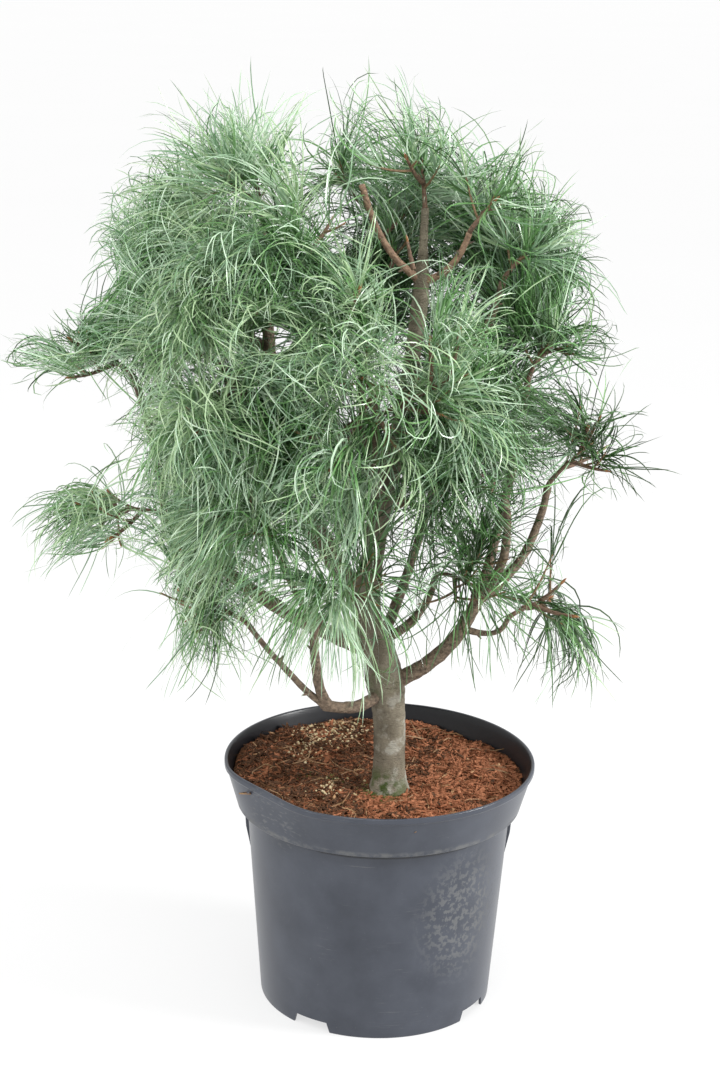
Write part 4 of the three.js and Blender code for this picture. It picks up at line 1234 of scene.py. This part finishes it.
def tintOf(ends, rng):  # a tint for each spray, by painted light and shade: deep green inside, behind, low and to the right, where shade falls, paler in front, high and to the left, where the light falls, with a random spread
    out = np.linalg.norm((ends - np.array(crown["middle"])) / crown["half"], axis=1)
    paintedLight = 0.36 * np.minimum(out, 0.85) + 0.2 * (ends[:, 2] - 300) / 480 - 0.09 * ends[:, 1] / 150
    paintedLight = paintedLight - 0.06 * ends[:, 0] / 200 + 0.16 * noise(ends, 60, 77) + rng.normal(0, 0.11, len(ends))
    order = np.argsort(np.argsort(paintedLight)) / len(paintedLight)
    return np.searchsorted(tintLimits, order)


def budMesh(ends, headings, sizes):  # pointed spindles
    curves = ends[:, None] + headings[:, None] * np.array(bud["shares"])[:, None] * sizes[:, None, None]
    girths = np.array(bud["girths"])[None] * sizes[:, None] * bud["slimness"]
    return tubeMesh(curves, girths, bud["sides"])


def growSprays(rng):  # shoots and twigs, and the bundles of needles and the combing of each
    shoots, twigs, sprays = [], [], []
    for index in range(len(masses)):
        for path in growShoots(index):
            lean = unit(rng.normal(size=3) * [1, 1, 0.6])
            grown = [(path, shoot, shoots)]
            grown += [(small, twig, twigs) for small in growTwigs(path, index, rng)]
            for curve, kind, found in grown:
                found.append(curve)
                bundles = growBundles(curve, kind["bare"], index, rng)
                sprays.append((curve[-1], bundles, sweepOf(curve, index, lean)))
    return shoots, twigs, sprays


def addWood(name, curves, kind, finish):
    radii = np.tile(np.linspace(kind["rootRadius"], kind["tipRadius"], len(curves[0])), (len(curves), 1))
    addPiece(name, *tubeMesh(curves, radii, kind["sides"]), finish, "bark", massNodes)


def addBuds(shoots, twigs, rng):
    tips = shoots + twigs
    headings = unit(np.array([path[-1] - path[-3] for path in tips]))
    sizes = np.concatenate([rng.uniform(*shoot["bud"], len(shoots)), rng.uniform(*twig["bud"], len(twigs))])
    scales = dappled("bud scales", bud["colours"], 420, 0.55, depth=0.2)
    made = budMesh(np.array([path[-1] for path in tips]), headings, sizes)
    addPiece("buds", *made, scales, "bark", massNodes)


def addNeedles(sprays, rng):  # one piece for each tint
    ends, bundles, sweeps = zip(*sprays)
    curves, spray, bundle = growNeedles(bundles, sweeps, rng)
    count = len(curves)
    print(count, "needles")
    # tints placed by painted light and shade, then shifted at random for each bundle
    kinds = tintOf(np.array(ends), rng)[spray]
    shift = np.round(rng.normal(0, 1.2, bundle.max() + 1)).astype(int)[bundle]
    kinds = np.clip(kinds + shift, 0, len(tints) - 1)
    width = needle["width"] * rng.uniform(0.8, 1.2, count)
    sideways, twist = unit(rng.normal(size=(count, 3))), rng.normal(0, 0.22, count)
    for kind, (key, colours) in enumerate(tints.items()):
        chosen = kinds == kind
        blades = ribbons(curves[chosen], width[chosen], sideways[chosen], twist[chosen])
        finish = dappled(key + " needles", colours, 60, 0.3, depth=0.05, shine=0.7)
        addPiece("needles_" + key, *blades, finish, "needles", massNodes)


def addCrown():
    rng = np.random.default_rng(twig["seed"])
    shoots, twigs, sprays = growSprays(rng)
    print(len(shoots), "shoots and", len(twigs), "twigs")
    addWood("shoot_bark", shoots, shoot, dappled("shoot bark", shoot["bark"], 380, 0.66, (1, 1, 1.5), 0.3))
    addWood("twig_bark", twigs, twig, dappled("twig bark", twig["bark"], 420, 0.6, (1, 1, 1.5), 0.2))
    addBuds(shoots, twigs, rng)
    addNeedles(sprays, rng)


addCrown()
print("crown made")

# Studio: a plain pale floor, pale surroundings that are brighter overhead, and soft lamps
studio = {
    "floor": ((0.25, 0.25, 0.25), (0.255, 0.255, 0.255)), "side": 24.0, "glow": 0.67,
    "surround": (0.62, 1.25),
    "lamps": [
        {"place": (-1.7, -0.9, 1.5), "size": 0.8, "power": 12},
        {"place": (1.7, -0.4, 1.1), "size": 0.6, "power": 34},
        {"place": (-0.3, -1.1, 2.2), "size": 1.0, "power": 12},
    ],
}


def addSurround():
    world = bpy.data.worlds.new("surround")
    world.use_nodes = True
    tree = world.node_tree
    least, most = studio["surround"]
    rise = newNode(tree, "SeparateXYZ", {0: newNode(tree, "TexCoord").outputs["Generated"]})
    strength = newNode(tree, "MapRange", {"Value": rise.outputs["Z"], "To Min": least, "To Max": most})
    background = tree.nodes["Background"]
    background.inputs["Color"].default_value = (1, 1, 1, 1)
    tree.links.new(strength.outputs["Result"], background.inputs["Strength"])
    bpy.context.scene.world = world


def addFloor():
    glow = {"Emission Color": (1, 1, 1, 1), "Emission Strength": studio["glow"]}
    finish = Finish("floor", roughness=0.9, **glow)
    finish.feed("Base Color", finish.colour(finish.grain(1.5), *studio["floor"]))
    side = studio["side"]
    mesh = bpy.data.meshes.new("floor")
    corners = [(-side, -side, 0), (side, -side, 0), (side, side, 0), (-side, side, 0)]
    mesh.from_pydata(corners, [], [(0, 1, 2, 3)])
    mesh.materials.append(finish.material)
    floor = addObject("floor", mesh)


def addLamps():
    for i, lamp in enumerate(studio["lamps"]):
        data = bpy.data.lights.new(f"lamp {i}", "AREA")
        data.shape, data.size, data.energy = "DISK", lamp["size"], lamp["power"]
        back = unit(np.array(lamp["place"]) - [0, 0, 0.4])
        aside = unit(np.cross(up, back))
        made = addObject(f"lamp {i}", data)
        made.matrix_world = facing(aside, np.cross(back, aside), back, lamp["place"])


def addStudio():
    addFloor()
    addSurround()
    addLamps()
    bpy.context.scene.view_settings.view_transform = "Standard"


addStudio()
print("studio made")
